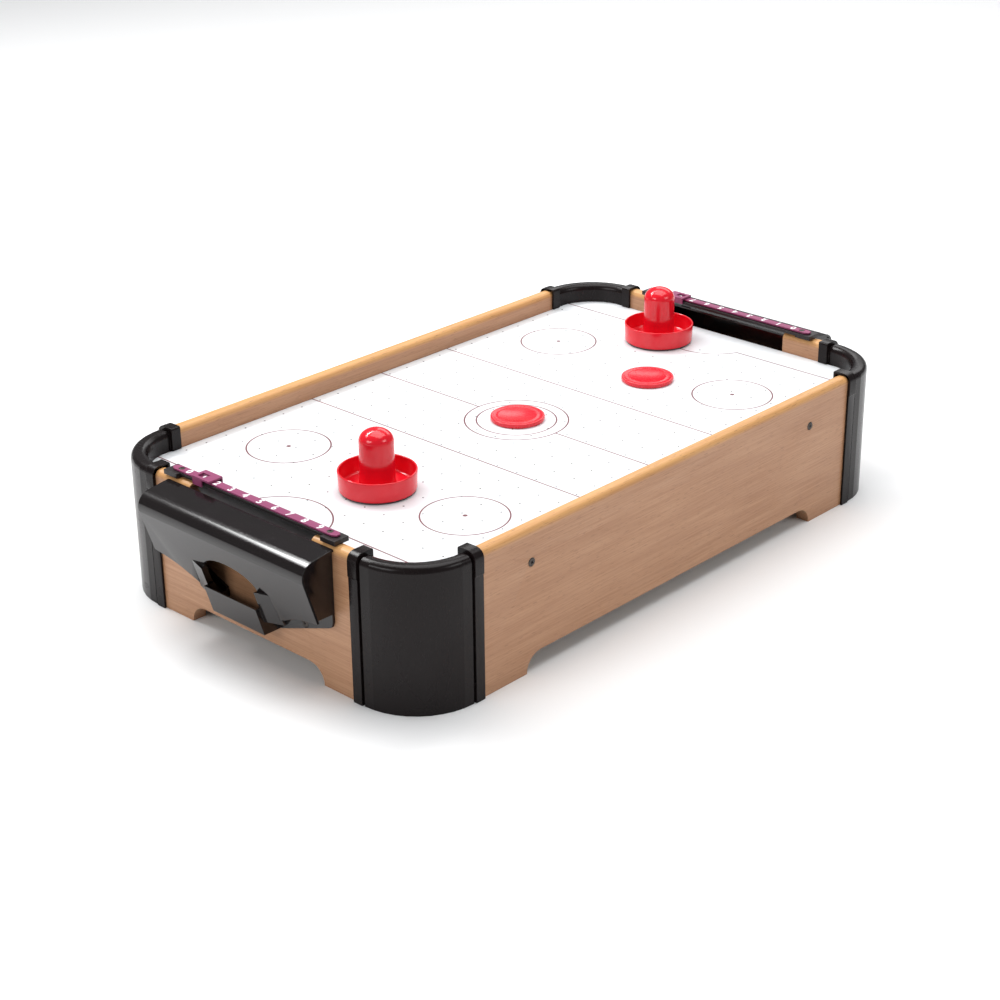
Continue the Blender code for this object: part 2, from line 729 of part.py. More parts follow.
def hood_tray():
    """The cup under the finger opening, where the puck comes to rest."""
    foot = 13.8 * MM
    lip = 20.2 * MM
    slope = (lip - foot) / (TRAY_TOP - TRAY_BOTTOM)
    outside = (
        (FIT, TRAY_BOTTOM),
        (foot, TRAY_BOTTOM),
        (lip, TRAY_TOP),
        (front_out(TRAY_TOP) - HOOD_WALL, TRAY_TOP),
        (front_out(TRAY_TOP) - 2.5 * HOOD_WALL, TRAY_TOP - 9.5 * MM),
        (FIT, TRAY_TOP - 9.5 * MM),
    )
    floor = TRAY_BOTTOM + TRAY_WALL
    top = TRAY_TOP + TRAY_WALL
    hollow_foot = foot + slope * TRAY_WALL - TRAY_WALL
    hollow_lip = lip + slope * TRAY_WALL - TRAY_WALL
    inside = ((-FIT, floor), (hollow_foot, floor), (hollow_lip, top), (-FIT, top))
    half = TRAY_HALF + TRAY_WALL / 2
    cup = prism(at_hood(outside), "X", -half, half)
    hollow = prism(at_hood(inside), "X", -half + TRAY_WALL, half - TRAY_WALL)
    return cut(cup, hollow)


def hood_lip():
    """The lip that closes the gap between the hood and the score beam, over the goal."""
    half = NOTCH_HALF - FIT
    high = FIELD_HEIGHT + HOOD_BACK_RISE - LIP_DROP
    low = (-half, -HALF_LENGTH - FIT - HOOD_WALL, high - LIP_THICKNESS)
    return box(low, (half, -HALF_LENGTH + LIP_REACH, high))


def goal_hood():
    side_high = HOOD_HALF - SIDE_RECESS
    side = hood_filling(SIDE_BOTTOM, side_high - RAMP_THICKNESS, side_high)
    half = [side, hood_ramp(), hood_flange(), hood_cheek()]
    both = half + [moved(mesh, MIRROR_X) for mesh in half]
    hood = join(hood_shell(), hood_lip(), hood_tray(), *both)
    holes = [screw_hole(HOOD_SCREW, place, (0, 1, 0)) for place in hood_screw_places()]
    return cut(hood, *holes)


# ---- Score keepers, modelled at the near end ----


def score_beam():
    """The bar across the goal. Its feet are flush with the panel and its middle is set back."""
    foot = BEAM_HALF - BEAM_FOOT
    low = RAIL_TOP + FIT
    inner_y = BEAM_OUT_Y + BEAM_WIDTH
    foot_y = -HALF_LENGTH + BEAM_FOOT_INSET
    outline = (
        (-BEAM_HALF, foot_y),
        (-foot, foot_y),
        (-foot, BEAM_OUT_Y),
        (foot, BEAM_OUT_Y),
        (foot, foot_y),
        (BEAM_HALF, foot_y),
        (BEAM_HALF, inner_y),
        (-BEAM_HALF, inner_y),
    )
    relief = box((-foot, foot_y - JOIN, low - JOIN), (foot, inner_y + JOIN, low + BEAM_RELIEF))
    beam = moved(cut(prism(outline, "Z", low, BEAM_TOP), relief), KEEPER_PLACE)
    holes = [screw_hole(STRIP_SCREW, place, (0, 0, -1)) for place in strip_screw_places()]
    return cut(beam, *holes)


def score_strip():
    half = BEAM_HALF - STRIP_SETBACK
    low = STRIP_Y - STRIP_WIDTH / 2
    high = STRIP_Y + STRIP_WIDTH / 2
    taper = STRIP_WIDTH / 4
    outline = (
        (-half, low + taper),
        (-half + STRIP_TAPER, low),
        (half - STRIP_TAPER, low),
        (half, low + taper),
        (half, high - taper),
        (half - STRIP_TAPER, high),
        (-half + STRIP_TAPER, high),
        (-half, high - taper),
    )
    strip = moved(prism(outline, "Z", BEAM_TOP + FIT, STRIP_TOP), KEEPER_PLACE)
    holes = [screw_hole(STRIP_SCREW, place, (0, 0, -1)) for place in strip_screw_places()]
    return cut(strip, *holes)


def score_slider():
    """The sliding score marker, about the middle of its length: a windowed plate between two flaps."""
    plate_low = STRIP_TOP + FIT
    front = BEAM_OUT_Y - FIT - SLIDER_FLAP
    back = BEAM_OUT_Y + BEAM_WIDTH + FIT + SLIDER_FLAP
    half = SLIDER_LENGTH / 2
    plate = box((-half, front, plate_low), (half, back, plate_low + SLIDER_THICKNESS))
    front_low = (-half, front, plate_low - SLIDER_FRONT_DROP)
    front_high = (-half + SLIDER_FRONT_LENGTH, front + SLIDER_FLAP, plate_low + JOIN)
    back_low = (-half, back - SLIDER_FLAP, plate_low - SLIDER_BACK_DROP)
    back_high = (half, back, plate_low + JOIN)
    slider = join(plate, box(front_low, front_high), box(back_low, back_high))
    width, depth = SLIDER_WINDOW
    window_x = SLIDER_WINDOW_OFFSET
    window_low = (window_x - width / 2, STRIP_Y - depth / 2, plate_low - JOIN)
    window_high = (window_x + width / 2, STRIP_Y + depth / 2, plate_low + 2 * SLIDER_THICKNESS)
    return cut(slider, box(window_low, window_high))


# ---- Pushers and pucks, about their own middle on the playing surface ----


def pusher():
    """A rimmed cup with a hollow knob, turned in one piece."""
    rim = PUSHER_RADIUS
    wall = PUSHER_RIM_WALL
    rim_round = wall / 2
    foot = rim - PUSHER_TAPER
    crown = arc((rim - rim_round, PUSHER_RIM_HEIGHT - rim_round), (rim_round, rim_round), 0, 180, 4)
    bowl = arc((foot - wall - 2 * MM, PUSHER_FLOOR + 2 * MM), (2 * MM, 2 * MM), 0, -90, 3)
    base = KNOB_RADIUS + KNOB_FLARE
    root = arc((base + 1.8 * MM, PUSHER_FLOOR + 1.8 * MM), (1.8 * MM, 1.8 * MM), 270, 180, 3)
    dome = arc((0, KNOB_SHOULDER), (KNOB_RADIUS, KNOB_DOME), 0, 90, 6)
    hollow = KNOB_RADIUS - KNOB_WALL
    inside = arc((0, KNOB_SHOULDER - KNOB_WALL), (hollow, KNOB_DOME - KNOB_WALL), 90, 0, 3)
    profile = [(foot, PUSHER_BASE)] + crown + bowl + root + dome[:-1]
    profile.append((0, KNOB_SHOULDER + KNOB_DOME))
    ring = [(0, KNOB_SHOULDER + KNOB_DOME - 2 * KNOB_WALL)] + inside[1:]
    ring += [(hollow, PUSHER_BASE)]
    return lathe(ring + profile, PUSHER_STEPS)


def pusher_felt():
    outer = PUSHER_RADIUS - FELT_INSET
    inner = KNOB_RADIUS - KNOB_WALL + FELT_INSET
    top = FIT + FELT_THICKNESS
    return lathe(((inner, FIT), (outer, FIT), (outer, top), (inner, top)), PUSHER_STEPS)


def puck():
    low = FIT
    high = FIT + PUCK_THICKNESS
    edge = PUCK_RADIUS - PUCK_BEVEL
    profile = (
        (0, low),
        (edge, low),
        (PUCK_RADIUS, low + PUCK_BEVEL),
        (PUCK_RADIUS, high - PUCK_BEVEL),
        (edge, high),
        (0, high),
    )
    return lathe(profile, PUSHER_STEPS)


# ---- Blower ----


def module_screw_places():
    """Two screws in the blower's flange and two in the battery box's ears, from below."""
    flange_x = HOUSING_RADIUS + HOUSING_FLANGE / 2
    ear_x = BOX_HALF_X + EAR_LENGTH / 2
    flange_z = MODULE_TOP - FLANGE_HEIGHT
    ear_z = MODULE_TOP - EAR_HEIGHT
    flange = [(side * flange_x, 0, flange_z) for side in (-1, 1)]
    return flange + [(side * ear_x, EAR_Y, ear_z) for side in (-1, 1)]


def fan_housing():
    low = HOUSING_BOTTOM
    floor = low + HOUSING_WALL
    inner = HOUSING_RADIUS - HOUSING_WALL
    flange = HOUSING_RADIUS + HOUSING_FLANGE
    seat = MOTOR_RADIUS + FIT
    profile = (
        (0, low),
        (HOUSING_RADIUS, low),
        (HOUSING_RADIUS, MODULE_TOP - FLANGE_HEIGHT),
        (flange, MODULE_TOP - FLANGE_HEIGHT),
        (flange, MODULE_TOP),
        (inner, MODULE_TOP),
        (inner, floor),
        (seat + HUB_WALL, floor),
        (seat + HUB_WALL, floor + HUB_HEIGHT),
        (seat, floor + HUB_HEIGHT),
        (seat, floor),
        (0, floor),
    )
    housing = lathe(profile, FAN_STEPS)
    half = VENT_WIDTH / 2
    vent = box((VENT_INNER, -half, low - JOIN), (VENT_OUTER, half, floor + JOIN))
    turns = [Matrix.Rotation(2 * math.pi * i / VENTS, 4, "Z") for i in range(VENTS)]
    vents = [moved(vent, turn) for turn in turns]
    holes = [screw_hole(MODULE_SCREW, place, (0, 0, 1)) for place in module_screw_places()[:2]]
    return cut(housing, *vents, *holes)


def fan_motor():
    low = HOUSING_BOTTOM + HOUSING_WALL + FIT
    top = low + MOTOR_HEIGHT
    tip = top + SHAFT_LENGTH
    bevel = MOTOR_SHAFT / 2
    profile = (
        (0, low),
        (MOTOR_RADIUS - bevel, low),
        (MOTOR_RADIUS, low + bevel),
        (MOTOR_RADIUS, top),
        (MOTOR_SHAFT, top),
        (MOTOR_SHAFT, tip),
        (0, tip),
    )
    return lathe(profile, 20)


def fan_impeller():
    """A centrifugal wheel: its blades hang under a disc, about a hub pressed on the motor's shaft."""
    low = BASE_BOTTOM + IMPELLER_LIFT
    top = low + BLADE_HEIGHT
    bore = MOTOR_SHAFT + FIT
    bore_top = HOUSING_BOTTOM + HOUSING_WALL + MOTOR_HEIGHT + SHAFT_LENGTH + 2 * FIT
    profile = (
        (0, top + IMPELLER_DISC),
        (IMPELLER_RADIUS, top + IMPELLER_DISC),
        (IMPELLER_RADIUS, top),
        (IMPELLER_HUB, top),
        (IMPELLER_HUB, low),
        (bore, low),
        (bore, bore_top),
        (0, bore_top),
    )
    wheel = lathe(profile, FAN_STEPS)
    half = BLADE_THICKNESS / 2
    blade = box((IMPELLER_HUB - half, -half, low + JOIN), (IMPELLER_RADIUS - half, half, top + JOIN))
    turns = [Matrix.Rotation(2 * math.pi * (i + 0.5) / BLADES, 4, "Z") for i in range(BLADES)]
    return join(wheel, *[moved(blade, turn) for turn in turns])


# ---- Battery box, switch and wires ----


def battery_box():
    low = MODULE_TOP - BOX_HEIGHT
    near = BATTERY_Y - BOX_HALF_Y
    far = BATTERY_Y + BOX_HALF_Y
    side = BOX_HALF_X - BOX_WALL
    shell = box((-BOX_HALF_X, near, low), (BOX_HALF_X, far, MODULE_TOP))
    ear_low = (-BOX_HALF_X - EAR_LENGTH, EAR_Y - EAR_LENGTH / 2, MODULE_TOP - EAR_HEIGHT)
    ear_high = (BOX_HALF_X + EAR_LENGTH, EAR_Y + EAR_LENGTH / 2, MODULE_TOP)
    bay = box((-side, near + BOX_WALL, low - JOIN), (side, far - BOX_WALL, MODULE_TOP - BOX_WALL))
    groove_low = (-side - DOOR_GROOVE - FIT, near + BOX_WALL, low + DOOR_LIFT - FIT)
    groove_high = (side + DOOR_GROOVE + FIT, far + JOIN, low + DOOR_LIFT + DOOR_THICKNESS + FIT)
    mouth = box((-side, BATTERY_Y, low - JOIN), (side, far + JOIN, groove_high[2]))
    holes = [screw_hole(MODULE_SCREW, place, (0, 0, 1)) for place in module_screw_places()[2:]]
    shell = join(shell, box(ear_low, ear_high))
    return cut(shell, bay, box(groove_low, groove_high), mouth, *holes)


def battery_door():
    low = MODULE_TOP - BOX_HEIGHT + DOOR_LIFT
    half = BOX_HALF_X - BOX_WALL + DOOR_GROOVE
    near = BATTERY_Y - BOX_HALF_Y + BOX_WALL + FIT
    return box((-half, near, low), (half, BATTERY_Y + BOX_HALF_Y, low + DOOR_THICKNESS))


def battery():
    """One cell along +Y, about its middle."""
    nub_radius, nub_length = CELL_NUB
    half = CELL_LENGTH / 2
    shoulder = half - nub_length
    bevel = 0.4 * MM
    profile = (
        (0, -half),
        (CELL_RADIUS, -half),
        (CELL_RADIUS, shoulder - bevel),
        (CELL_RADIUS - bevel, shoulder),
        (nub_radius, shoulder),
        (nub_radius, half),
        (0, half),
    )
    return moved(lathe(profile, 16), Matrix.Rotation(-math.pi / 2, 4, "X"))


def battery_contact():
    """A spring-steel plate across all the cells' ends, at the -Y end of the box."""
    half = (CELLS - 1) / 2 * CELL_PITCH + CELL_RADIUS
    near = -BOX_HALF_Y + BOX_WALL + FIT
    low = CELL_Z - CONTACT_HEIGHT / 2
    return box((-half, near, low), (half, near + CONTACT_THICKNESS, low + CONTACT_HEIGHT))


def switch_place():
    """The middle of the rocker's pivot."""
    width, _, height = SWITCH_SIZE
    x = -BOX_HALF_X - SWITCH_GAP - width / 2
    return (x, BATTERY_Y, MODULE_TOP - height + PIVOT_RISE)


def switch_body():
    x, y, pivot = switch_place()
    width, depth, height = SWITCH_SIZE
    low = MODULE_TOP - height
    half_x = ROCKER_HALF + ROCKER_ROOM
    half_y = ROCKER_WIDTH / 2 + ROCKER_ROOM
    body = box((x - width / 2, y - depth / 2, low), (x + width / 2, y + depth / 2, MODULE_TOP))
    pocket = box((x - half_x, y - half_y, low - JOIN), (x + half_x, y + half_y, pivot + POCKET_DEPTH))
    return cut(body, pocket)


def switch_rocker():
    """The rocker about its pivot."""
    half = ROCKER_HALF
    top = 2 * MM
    outline = (
        (-half + top / 3, top),
        (half - top / 3, top),
        (half, -top / 4),
        (half, -1.1 * top),
        (0, -1.7 * top),
        (-half, -1.1 * top),
        (-half, -top / 4),
    )
    return prism(outline, "Y", -ROCKER_WIDTH / 2, ROCKER_WIDTH / 2)


def add_wire(name, route, material):
    """A short wire as a round tube along its route."""
    curve = bpy.data.curves.new(name, "CURVE")
    curve.dimensions = "3D"
    curve.bevel_depth = WIRE_RADIUS
    curve.bevel_resolution = 1
    curve.use_fill_caps = True
    spline = curve.splines.new("POLY")
    spline.points.add(len(route) - 1)
    for point, place in zip(spline.points, route):
        point.co = (*place, 1)
    curve.materials.append(material)
    bpy.context.scene.collection.objects.link(bpy.data.objects.new(name, curve))


def add_wires(material):
    """From the battery box to the switch, and from both to the blower's housing."""
    switch_x, switch_y, _ = switch_place()
    z = MODULE_TOP - WIRE_DROP
    box_side = -BOX_HALF_X - FIT
    box_near = BATTERY_Y - BOX_HALF_Y - FIT
    body_side = switch_x + SWITCH_SIZE[0] / 2 + FIT
    body_near = switch_y - SWITCH_SIZE[1] / 2 - FIT
    reach = HOUSING_RADIUS + FIT
    add_wire("wire_battery_to_switch", [(box_side, BATTERY_Y, z), (body_side, BATTERY_Y, z)], material)
    add_wire("wire_battery_to_blower", [(0, box_near, z), (0, reach, z)], material)
    angle = math.radians(130)
    end = Vector((math.cos(angle), math.sin(angle), 0))
    start = Vector((switch_x, body_near, z))
    lift = Vector((0, 0, z))
    corners = (start, start - Vector((0, 14 * MM, 0)), end * (reach + 16 * MM) + lift, end * reach + lift)
    steps = 10
    route = []
    for i in range(steps + 1):
        t = i / steps
        weights = ((1 - t) ** 3, 3 * t * (1 - t) ** 2, 3 * t * t * (1 - t), t**3)
        route.append(sum((corner * weight for corner, weight in zip(corners, weights)), Vector()))
    add_wire("wire_switch_to_blower", route, material)


# ---- Assembly ----


def add_both_sides(names, mesh, material):
    """A piece and its twin, turned half a turn about the table's middle."""
    add_piece(names[0], mesh, material)
    add_piece(names[1], mesh, material, turn=math.pi)


def add_body(looks):
    add_both_sides(("side_panel_right", "side_panel_left"), side_panel(), looks["wood_print"])
    add_both_sides(("end_panel_near", "end_panel_far"), end_panel(), looks["wood_print"])
    add_both_sides(("side_batten_right", "side_batten_left"), side_batten(), looks["raw_board"])
    add_both_sides(("end_batten_near", "end_batten_far"), end_batten(), looks["raw_board"])
    add_piece("play_board", play_board(), looks["white_board"])
    add_piece("base_board", base_board(), looks["raw_board"])
    post = corner_post()
    corners = (("far_right", 1, 1), ("far_left", -1, 1), ("near_left", -1, -1), ("near_right", 1, -1))
    for i, (corner, x, y) in enumerate(corners):
        place = (x * POST_X, y * POST_Y, 0)
        add_piece(f"corner_post_{corner}", post, looks["black_plastic"], place, turn=i * math.pi / 2)
    for i, place in enumerate(panel_screw_places()):
        direction = (-1 if place[0] > 0 else 1, 0, 0)
        add_screw(f"panel_screw_{i + 1}", PANEL_SCREW, place, direction, looks["steel"])


def add_ends(looks):
    """The goal hood and the score keeper of each end. The far ones are the near ones turned round."""
    add_both_sides(("goal_hood_near", "goal_hood_far"), goal_hood(), looks["black_plastic"])
    add_both_sides(("score_beam_near", "score_beam_far"), score_beam(), looks["black_plastic"])
    add_both_sides(("score_strip_near", "score_strip_far"), score_strip(), looks["purple_plastic"])
    slider = score_slider()
    reach = BEAM_HALF - BEAM_FOOT - SLIDER_LENGTH / 2
    near_place = (KEEPER_SHIFT - reach + SLIDER_NEAR_GAP, 0, 0)
    add_piece("score_slider_near", slider, looks["purple_plastic"], near_place)
    far_place = (-KEEPER_SHIFT - reach + SLIDER_FAR_GAP, 0, 0)
    add_piece("score_slider_far", slider, looks["purple_plastic"], far_place, turn=math.pi)
    for end, matrix in (("near", Matrix.Identity(4)), ("far", TURN)):
        inwards = matrix @ Vector((0, 1, 0))
        for i, place in enumerate(hood_screw_places()):
            where = matrix @ Vector(place)
            add_screw(f"hood_screw_{end}_{i + 1}", HOOD_SCREW, where, inwards, looks["steel"])
        for i, place in enumerate(strip_screw_places()):
            where = matrix @ Vector(place)
            add_screw(f"strip_screw_{end}_{i + 1}", STRIP_SCREW, where, (0, 0, -1), looks["steel"])


def add_players(looks):
    body = pusher()
    felt = pusher_felt()
    near = (PUSHER_NEAR_X, PUSHER_NEAR_GAP - INNER_Y, FIELD_HEIGHT)
    far = (PUSHER_FAR_X, INNER_Y - PUSHER_FAR_GAP, FIELD_HEIGHT)
    for end, place in (("near", near), ("far", far)):
        parent = add_piece(f"pusher_{end}", body, looks["red_plastic"], place)
        add_piece(f"pusher_felt_{end}", felt, looks["felt"], parent=parent)
    disc = puck()
    add_piece("puck_centre", disc, looks["red_plastic"], (*PUCK_CENTRE, FIELD_HEIGHT))
    far_puck = (PUCK_FAR_X, INNER_Y - PUCK_FAR_GAP, FIELD_HEIGHT)
    add_piece("puck_far", disc, looks["red_plastic"], far_puck)


def add_underside(looks):
    add_piece("fan_housing", fan_housing(), looks["grey_plastic"])
    add_piece("fan_motor", fan_motor(), looks["motor_metal"])
    add_piece("fan_impeller", fan_impeller(), looks["grey_plastic"])
    add_piece("battery_box", battery_box(), looks["grey_plastic"])
    add_piece("battery_door", battery_door(), looks["grey_plastic"])
    cell = battery()
    for i in range(CELLS):
        x = (i - (CELLS - 1) / 2) * CELL_PITCH
        add_piece(f"battery_{i + 1}", cell, looks["cell_wrap"], (x, BATTERY_Y, CELL_Z), turn=i % 2 * math.pi)
    contact = battery_contact()
    for i in range(2):
        name = f"battery_contact_{i + 1}"
        add_piece(name, contact, looks["motor_metal"], (0, BATTERY_Y, 0), turn=i * math.pi)
    add_piece("switch_body", switch_body(), looks["grey_plastic"])
    add_piece("switch_rocker", switch_rocker(), looks["red_plastic"], switch_place())
    for i, place in enumerate(module_screw_places()):
        add_screw(f"module_screw_{i + 1}", MODULE_SCREW, place, (0, 0, 1), looks["steel"])
    add_wires(looks["wire"])


clear_scene()
LOOKS = make_materials()
add_body(LOOKS)
add_ends(LOOKS)
add_players(LOOKS)
add_underside(LOOKS)
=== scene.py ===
# %% [markdown]
# A tabletop air hockey table is a low wooden box with a drilled white playing board, black
# moulded corners, a black goal hood at each end and a small blower underneath. The working
# model gives every piece its size and place. This lesson adds what the eye needs: soft edges,
# printed lines, drilled air holes, screws with cross recesses, and finishes worked out in nodes.

# %% Load the frame
import json
import math

import bmesh
import bpy
from mathutils import Matrix, Vector


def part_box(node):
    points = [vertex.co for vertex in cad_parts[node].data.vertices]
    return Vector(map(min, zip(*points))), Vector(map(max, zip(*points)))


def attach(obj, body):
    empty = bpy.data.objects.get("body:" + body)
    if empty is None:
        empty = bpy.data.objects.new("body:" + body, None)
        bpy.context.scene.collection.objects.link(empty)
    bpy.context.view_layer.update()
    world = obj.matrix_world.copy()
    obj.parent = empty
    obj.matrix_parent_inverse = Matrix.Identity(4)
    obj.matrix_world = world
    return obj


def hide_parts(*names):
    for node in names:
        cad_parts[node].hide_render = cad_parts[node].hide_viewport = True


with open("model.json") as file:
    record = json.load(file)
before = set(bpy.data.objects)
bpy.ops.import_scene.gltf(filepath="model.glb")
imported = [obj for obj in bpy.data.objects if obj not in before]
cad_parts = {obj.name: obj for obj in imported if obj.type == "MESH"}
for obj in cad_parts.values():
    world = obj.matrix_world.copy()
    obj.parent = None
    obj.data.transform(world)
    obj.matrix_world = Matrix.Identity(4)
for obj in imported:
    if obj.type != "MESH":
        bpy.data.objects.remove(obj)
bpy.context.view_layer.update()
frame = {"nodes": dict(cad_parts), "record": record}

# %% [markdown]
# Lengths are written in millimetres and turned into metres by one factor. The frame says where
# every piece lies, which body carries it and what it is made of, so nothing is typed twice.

MM = 0.001
NODES = frame["nodes"]
FIELD_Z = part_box("play_board")[1].z
RECORD = frame["record"]
BODY_OF = {node: body for body, nodes in RECORD["behaviour"]["bodies"].items() for node in nodes}
print("pieces in the frame:", len(NODES), " playing surface at", round(FIELD_Z / MM, 1), "mm")

# %% [markdown]
# The camera looks down on the near right corner from head height in front of a desk. A long
# lens keeps the far end of the table from shrinking too much. It is aimed by a direction and
# a small roll, so no target object is needed.

# %% Camera
CAMERA_PLACE = Vector((0.94006, -1.01346, 0.65750))
CAMERA_AIM = Vector((-0.62439, 0.66093, -0.41629))
CAMERA_ROLL = math.radians(-0.596)
LENS_MM = 73.716
SENSOR_MM = 36


def add_camera():
    camera = bpy.data.objects.new("camera", bpy.data.cameras.new("camera"))
    bpy.context.scene.collection.objects.link(camera)
    camera.data.lens = LENS_MM
    camera.data.sensor_width = SENSOR_MM
    camera.data.clip_start = 0.01
    turn = CAMERA_AIM.to_track_quat("-Z", "Y").to_matrix().to_4x4()
    camera.matrix_world = Matrix.Translation(CAMERA_PLACE) @ turn @ Matrix.Rotation(CAMERA_ROLL, 4, "Z")
    bpy.context.scene.camera = camera
    return camera


camera = add_camera()
print("camera", [round(v, 3) for v in camera.matrix_world.translation])

# %% [markdown]
# A plain pale floor and large soft lamps make a product picture. Gloss black plastic shows
# only what it reflects, so the lamps are placed for their reflections: three banks high on the
# left draw one bright streak along the hood's shoulder, and the camera's side stays dim.

# %% Floor, sky and lamps
FLOOR_SIZE = 14.0
LAMPS = {
    # name: (place, aim, width, height, watts)
    "overhead": ((-0.1, 0.4, 2.3), (0, 0, 0), 2.2, 2.0, 48),
    "bank_1": ((-1.18, 0.10, 1.62), (0, -0.28, 0.1), 0.9, 0.17, 7),
    "bank_2": ((-1.23, -0.20, 1.60), (0, -0.28, 0.1), 0.9, 0.24, 9),
    "bank_3": ((-1.26, -0.52, 1.55), (0, -0.28, 0.1), 0.9, 0.24, 9),
    "back": ((-0.9, 2.3, 1.5), (0, 0.2, 0.05), 2.2, 0.9, 15),
    "right_fill": ((2.4, 0.6, 1.5), (0.1, 0, 0.05), 1.2, 0.8, 14),
    "front_fill": ((-0.2, -2.4, 1.3), (0, -0.2, 0.0), 1.4, 0.7, 18),
}


def add_lamp(name, place, aim, width, height, watts):
    data = bpy.data.lights.new(name, "AREA")
    data.shape = "RECTANGLE"
    data.size = width
    data.size_y = height
    data.energy = watts
    lamp = bpy.data.objects.new(name, data)
    bpy.context.scene.collection.objects.link(lamp)
    aim_line = Vector(aim) - Vector(place)
    turn = aim_line.to_track_quat("-Z", "Y").to_matrix().to_4x4()
    lamp.matrix_world = Matrix.Translation(place) @ turn


def add_floor():
    half = FLOOR_SIZE / 2
    mesh = bpy.data.meshes.new("floor")
    corners = [(-half, -half, 0), (half, -half, 0), (half, half, 0), (-half, half, 0)]
    mesh.from_pydata(corners, [], [(0, 1, 2, 3)])
    floor = bpy.data.objects.new("floor", mesh)
    bpy.context.scene.collection.objects.link(floor)
    finish = bpy.data.materials.new("floor")
    finish.use_nodes = True
    shader = finish.node_tree.nodes["Principled BSDF"]
    shader.inputs["Base Color"].default_value = (0.93, 0.93, 0.93, 1)
    shader.inputs["Roughness"].default_value = 0.9
    mesh.materials.append(finish)


def add_sky():
    world = bpy.data.worlds.new("sky")
    bpy.context.scene.world = world
    world.use_nodes = True
    sky = world.node_tree.nodes["Background"]
    sky.inputs["Color"].default_value = (0.95, 0.97, 1.0, 1)
    sky.inputs["Strength"].default_value = 0.24


add_floor()
add_sky()
for lamp_name, lamp_facts in LAMPS.items():
    add_lamp(lamp_name, *lamp_facts)
bpy.context.scene.view_settings.view_transform = "Standard"
print("lamps:", ", ".join(LAMPS))

# %% [markdown]
# Shader maths is easier to read as sums than as a chain of boxes. Value wraps one output
# socket and turns each sum or comparison into a Math node. The reflected forms let a plain
# number stand on the left, as in 1 - mask.

# %% Sums on sockets


class Value:
    """A number flowing through a material's nodes."""

    def __init__(self, look, socket):
        self.look = look
        self.socket = socket

    def maths(self, operation, *values):
        return self.look.node("ShaderNodeMath", {"operation": operation}, dict(enumerate(values)))

    def __add__(self, other):
        return self.maths("ADD", self, other)

    def __sub__(self, other):
        return self.maths("SUBTRACT", self, other)

    def __rsub__(self, other):
        return self.maths("SUBTRACT", other, self)

    def __mul__(self, other):
        return self.maths("MULTIPLY", self, other)

    def __truediv__(self, other):
        return self.maths("DIVIDE", self, other)

    def __rtruediv__(self, other):
        return self.maths("DIVIDE", other, self)

    def __pow__(self, other):
        return self.maths("POWER", self, other)

    def __abs__(self):
        return self.maths("ABSOLUTE", self)

    def __lt__(self, other):
        return self.maths("LESS_THAN", self, other)

    def __gt__(self, other):
        return self.maths("GREATER_THAN", self, other)

    __radd__ = __add__
    __rmul__ = __mul__

    def larger(self, other):
        return self.maths("MAXIMUM", self, other)

    def zigzag(self, scale):
        return self.maths("PINGPONG", self, scale)

    def floor(self):
        return self.maths("FLOOR", self)


print("sums on sockets are ready")

# %% [markdown]
# Look holds one material. Its node method adds any node: settings first, then a value or a
# link for each socket. The other methods name the few patterns that every finish here needs:
# coordinates in metres, noise, an eased step, a blend of two colours and a bump.

# %% One material at a time


class Look:
    """One material: its constants go on the shader, and what varies comes in through nodes."""

    def __init__(self, name, **constants):
        self.material = bpy.data.materials.new(name)
        self.material.use_nodes = True
        self.tree = self.material.node_tree
        self.shader = self.tree.nodes["Principled BSDF"]
        for key, value in constants.items():
            self.feed(key.replace("_", " ").title().replace("Ior", "IOR"), value)

    def feed(self, socket_name, value):
        socket = self.shader.inputs[socket_name]
        if isinstance(value, Value):
            self.tree.links.new(value.socket, socket)
        else:
            socket.default_value = (*value, 1) if isinstance(value, tuple) else value

    def node(self, kind, settings, sockets, output=0):
        node = self.tree.nodes.new(kind)
        for key, value in settings.items():
            setattr(node, key, value)
        for key, value in sockets.items():
            socket = node.inputs[key]
            if isinstance(value, Value):
                self.tree.links.new(value.socket, socket)
            else:
                socket.default_value = value
        return Value(self, node.outputs[output])

    def place(self):
        """Object coordinates, in metres."""
        return self.node("ShaderNodeTexCoord", {}, {}, output=3)

    def axes(self):
        place = self.place()
        return [self.node("ShaderNodeSeparateXYZ", {}, {0: place}, output=i) for i in range(3)]

    def scaled(self, scale, shift=(0, 0, 0)):
        sockets = {"Vector": self.place(), "Scale": scale, "Location": shift}
        return self.node("ShaderNodeMapping", {}, sockets)

    def noise(self, scale, detail=4.0, roughness=0.5, vector=None, distortion=0.0):
        sockets = {"Vector": vector or self.place(), "Scale": scale, "Detail": detail}
        sockets.update({"Roughness": roughness, "Distortion": distortion})
        return self.node("ShaderNodeTexNoise", {}, sockets)

    def smooth(self, value, low, high):
        """0 below low and 1 above high, with an eased step between. Low may be the larger."""
        sockets = {0: value, 1: low, 2: high, 3: 0.0, 4: 1.0}
        return self.node("ShaderNodeMapRange", {"interpolation_type": "SMOOTHSTEP"}, sockets)

    def mix(self, factor, first, second):
        """Colours blend in a Mix node, because Math would turn them grey."""
        colours = [(*c, 1) if isinstance(c, tuple) else c for c in (first, second)]
        sockets = {0: factor, 6: colours[0], 7: colours[1]}
        return self.node("ShaderNodeMix", {"data_type": "RGBA"}, sockets, output=2)

    def bump(self, height, strength, depth):
        sockets = {"Height": height, "Strength": strength, "Distance": depth}
        self.feed("Normal", self.node("ShaderNodeBump", {}, sockets))


print("materials can be made")
